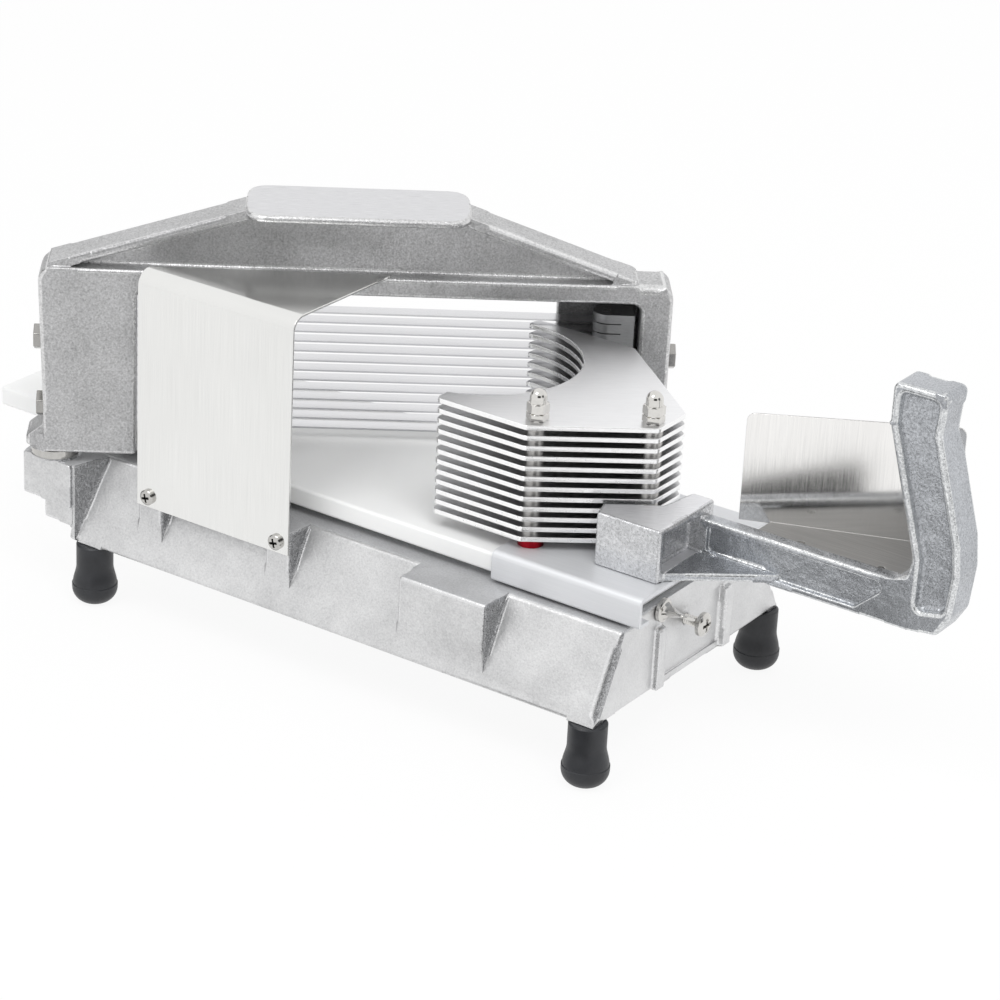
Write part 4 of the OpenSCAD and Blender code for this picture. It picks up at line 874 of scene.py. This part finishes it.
class SLICER_OT_carriage(bpy.types.Operator):
    """Channel, fins, spacers, studs and bushes"""
    bl_idname = "slicer.carriage"
    bl_label = "Carriage and fins"

    def execute(self, context):
        colours, sizes = context.scene.slicer_colours, context.scene.slicer_sizes
        channel = brushed_finish("channel_metal", colours.channel, (30 * MM, 0.6 * MM, 0.6 * MM), rough=0.42,
                                 contrast=0.04, metal=0.4)
        top = self.fin_finish("fin_metal", colours.fin)
        # Painted shade: all fins but the top one lie in the gaps of the stack, and take a darker copy of the fin
        # finish.
        inner = self.fin_finish("shaded_inner_fin_metal", shade(colours.fin, 0.72))
        rim = plated_finish("fin_rim", shade(colours.fin, 1.2), rough=0.24)
        bright = plated_finish("stud_plate", shade(colours.bright, 1.4), rough=0.2)
        bush = brushed_finish("red_anodise", colours.bush, (2 * MM, 2 * MM, 0.4 * MM), rough=0.30,
                              contrast=0.10)
        softened("carriage_channel", (sizes.fine_edge,), (channel,))
        for node in FINS:
            piece = softened(node, (sizes.fine_edge,), (top if node == FINS[-1] else inner, rim))
            repaint(piece, 1, lambda centre, normal: np.abs(normal[:, 2]) < 0.8)
        dress(bright, "fin_spacers", "stud_near", "stud_far", "handle_screws")
        dress(bush, "fin_bushes")
        return {"FINISHED"}

    @staticmethod
    def fin_finish(name, colour):
        """Satin sheet whose grain slants across the fins."""
        return brushed_finish(name, colour, (14 * MM, 0.5 * MM, 14 * MM), rough=0.34, contrast=0.06,
                              turn=0.65)


class SLICER_OT_nuts(bpy.types.Operator):
    """Jam nuts and acorn nuts with chamfered corners"""
    bl_idname = "slicer.nuts"
    bl_label = "Nuts"

    def execute(self, context):
        finish = plated_finish("nut_plate", shade(context.scene.slicer_colours.bright, 1.3), rough=0.08)
        spots = [middle("stud_near"), middle("stud_far")]
        self.stack("jam_nuts", spots, finish, self.jam)
        self.stack("acorn_nuts", spots, finish, self.acorn)
        return {"FINISHED"}

    @staticmethod
    def stack(node, spots, finish, shape):
        """A nut on each stud, as high as the CAD nuts."""
        low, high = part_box(node)
        meshes = []
        for place in spots:
            mesh = shape(node, high.z - low.z)
            mesh.transform(Matrix.Translation((place.x, place.y, low.z)))
            meshes.append(mesh)
        finished(joined(node + "_skin", meshes), (finish,), node)

    @staticmethod
    def hexagon(height, top):
        """Radius by height of a hexagon with chamfered ends, up to the radius of its top."""
        corner, bite, hold = NUT_FLATS / 2 / math.cos(math.pi / 6), 0.5 * MM, 0.06 * MM
        return [(NUT_FLATS / 2 - 0.3 * MM, 0), (corner, bite), (corner, bite + hold),
                (corner, height - bite - hold), (corner, height - bite), (top, height)]

    def jam(self, name, height):
        """Hexagon with both ends chamfered, closed at the top by a flat ring."""
        ring = 4.2 * MM
        return hexagonal(name, NUT_FLATS, self.hexagon(height, NUT_FLATS / 2 - 0.3 * MM) + [(ring, height)])

    def acorn(self, name, height):
        """Hexagon with a chamfered shoulder under a short cylinder and half a ball."""
        shoulder, dome = 0.42 * height, 0.44 * NUT_FLATS
        foot = self.hexagon(shoulder, NUT_FLATS / 2 - 0.2 * MM)
        fillet = [(dome + 0.1 * MM, shoulder + 0.1 * MM), (dome, shoulder + 0.4 * MM)]
        a = np.linspace(0, np.pi / 2, 18)[:-1]
        cap = np.stack([dome * np.cos(a), height - dome + dome * np.sin(a)], axis=-1)
        return hexagonal(name, NUT_FLATS, np.concatenate([foot, fillet, cap]))


class SLICER_OT_blades(bpy.types.Operator):
    """Blades, their holders, pins and tension bolts"""
    bl_idname = "slicer.blades"
    bl_label = "Blades"

    def execute(self, context):
        colours = context.scene.slicer_colours
        steel = brushed_finish("blade_steel", colours.blade, (40 * MM, 0.4 * MM, 0.4 * MM), rough=0.28,
                               contrast=0.04, turn=BLADE_ANGLE)
        holder = brushed_finish("holder_steel", colours.holder, (4 * MM, 4 * MM, 0.5 * MM), rough=0.42,
                                contrast=0.14)
        bolt = plated_finish("bolt_steel", shade(colours.bright, 0.75), rough=0.22)
        dress(steel, *BLADES)
        dress(holder, "holder_left", "holder_right")
        dress(bolt, "pin_left", "pin_right")
        softened("tension_bolts", (0.5 * MM,), (bolt,))
        return {"FINISHED"}


class SLICER_OT_guards(bpy.types.Operator):
    """Front and rear guards of bent sheet, with their screws"""
    bl_idname = "slicer.guards"
    bl_label = "Guards"

    def execute(self, context):
        colours = context.scene.slicer_colours
        front = brushed_finish("front_guard_sheet", colours.guard, (0.5 * MM, 0.5 * MM, 45 * MM), rough=0.18,
                               contrast=0.045)
        rear = brushed_finish("rear_guard_sheet", colours.stainless, (0.35 * MM, 0.35 * MM, 30 * MM),
                              rough=0.11, contrast=0.05)
        # Painted shade: the rear guard's ledge is far darker than its sheet, which also darkens its reflection low
        # on the guard.
        ledge = brushed_finish("shaded_rear_ledge_sheet", shade(colours.stainless, 0.5),
                               (40 * MM, 0.5 * MM, 40 * MM), rough=0.36, contrast=0.25)
        softened("front_guard", (0.4 * MM,), (front,))
        piece = softened("rear_guard", (0.3 * MM,), (rear, ledge))
        repaint(piece, 0, lambda centre, normal: normal[:, 2] < 0.8)
        repaint(piece, 1, lambda centre, normal: normal[:, 2] >= 0.8)
        bright = plated_finish("guard_screw_plate", colours.bright)
        # Painted shade: the cross recesses of the screw heads take a near-black plate.
        recess = plated_finish("guard_screw_shaded_recess", shade(colours.bright, 0.15), rough=0.4)
        self.heads("guard_screws", (0, -1, 0), (bright, recess))
        dress(bright, "rear_guard_screws", "board_screws", "foot_studs", "frame_studs", "frame_spacers")
        return {"FINISHED"}

    @staticmethod
    def heads(node, outwards, finishes):
        """Heads with a cross recess over the heads of the CAD screws, on the front guard's face."""
        low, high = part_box(node)
        diameter, height = 9.8 * MM, 3.2 * MM
        spun = Matrix.Rotation(math.radians(14), 4, "Z")
        z = (low.z + high.z) / 2
        meshes = []
        for x in (low.x + diameter / 2, high.x - diameter / 2):
            mesh = pan_head(node, diameter, height)
            mesh.transform(Matrix.Translation((x, low.y + height, z)) @ along(outwards) @ spun)
            meshes.append(mesh)
        finished(joined(node + "_skin", meshes), finishes, node)


class SLICER_OT_end_screws(bpy.types.Operator):
    """Stop screw with a bare thread, and thumb screw"""
    bl_idname = "slicer.end_screws"
    bl_label = "End screws"

    def execute(self, context):
        colours, sizes = context.scene.slicer_colours, context.scene.slicer_sizes
        finish = plated_finish("end_screw_plate", shade(colours.bright, 1.2))
        # Painted shade: the cross recess of the stop screw's head takes a near-black plate.
        recess = plated_finish("end_screw_shaded_recess", shade(colours.bright, 0.2), rough=0.4)
        self.stop_screw((finish, recess), sizes)
        self.thumb_screw(finish)
        return {"FINISHED"}

    @staticmethod
    def stop_screw(finishes, sizes):
        """Head with a cross recess on a shank that is threaded over its whole length."""
        low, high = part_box("stop_screw")
        centre = middle("stop_screw")
        head_height, thread = 4.16 * MM, 6.35 * MM
        seat = high.x - head_height
        to_x = along((1, 0, 0))
        head = pan_head("stop_head", high.y - low.y, head_height)
        head.transform(Matrix.Translation((seat, centre.y, centre.z)) @ to_x)
        shank = threaded("stop_thread", thread, sizes.thread_pitch, sizes.thread_depth, seat - low.x)
        shank.transform(Matrix.Translation((low.x, centre.y, centre.z)) @ to_x)
        finished(joined("stop_screw_skin", [head, shank]), finishes, "stop_screw")

    @staticmethod
    def thumb_screw(finish):
        """Shank, collar and flattened wing, lofted along the axis of the screw's joint."""
        joint = next(joint for joint in frame["joints"] if joint["name"] == "thumb_screw_turn")
        _, y, z = joint["pos_m"]
        stations = np.array([
            (-15, 2.5, 2.5, 2), (-0.05, 2.5, 2.5, 2), (0, 6.6, 6.6, 2), (0.5, 7.25, 7.25, 2),
            (2.6, 7.25, 7.25, 2), (3.2, 6.6, 6.6, 2), (3.4, 5.3, 5.3, 2), (5.0, 4.6, 4.2, 2),
            (7.0, 4.4, 3.2, 2), (9.5, 4.9, 2.2, 2.2), (12.0, 6.0, 1.5, 2.6), (14.5, 7.1, 1.2, 3),
            (17.0, 7.5, 1.2, 3), (18.8, 7.2, 1.15, 3), (19.8, 6.2, 1.0, 3), (20.2, 4.8, 0.7, 3),
        ]) * [MM, MM, MM, 1]
        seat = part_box("thumb_screw")[1].x - stations[-1, 0]
        mesh = oval_loft("thumb_screw", stations)
        mesh.transform(Matrix.Translation((seat, y, z)) @ Matrix.Rotation(math.radians(-28), 4, "X"))
        finished(joined("thumb_screw_skin", [mesh]), (finish,), "thumb_screw")


class SLICER_PT_panel(bpy.types.Panel):
    """Lists the slicer's operators"""
    bl_idname = "SLICER_PT_panel"
    bl_label = "Tomato slicer"
    bl_space_type = "VIEW_3D"
    bl_region_type = "UI"
    bl_category = "Slicer"

    def draw(self, context):
        for operator in OPERATORS:
            self.layout.operator(operator.bl_idname)


OPERATORS = (SLICER_OT_stage, SLICER_OT_castings, SLICER_OT_board, SLICER_OT_feet, SLICER_OT_carriage,
             SLICER_OT_nuts, SLICER_OT_blades, SLICER_OT_guards, SLICER_OT_end_screws)
GROUPS = {"slicer_colours": SlicerColours, "slicer_sizes": SlicerSizes, "slicer_studio": SlicerStudio}


def register():
    for cls in (*GROUPS.values(), *OPERATORS, SLICER_PT_panel):
        bpy.utils.register_class(cls)
    for name, group in GROUPS.items():
        setattr(bpy.types.Scene, name, PointerProperty(type=group))


def unregister():
    for name in GROUPS:
        delattr(bpy.types.Scene, name)
    for cls in reversed((*GROUPS.values(), *OPERATORS, SLICER_PT_panel)):
        bpy.utils.unregister_class(cls)


def main():
    register()
    for operator in OPERATORS:
        name = operator.bl_idname.split(".")[1]
        getattr(bpy.ops.slicer, name)()


if __name__ == "__main__":
    main()
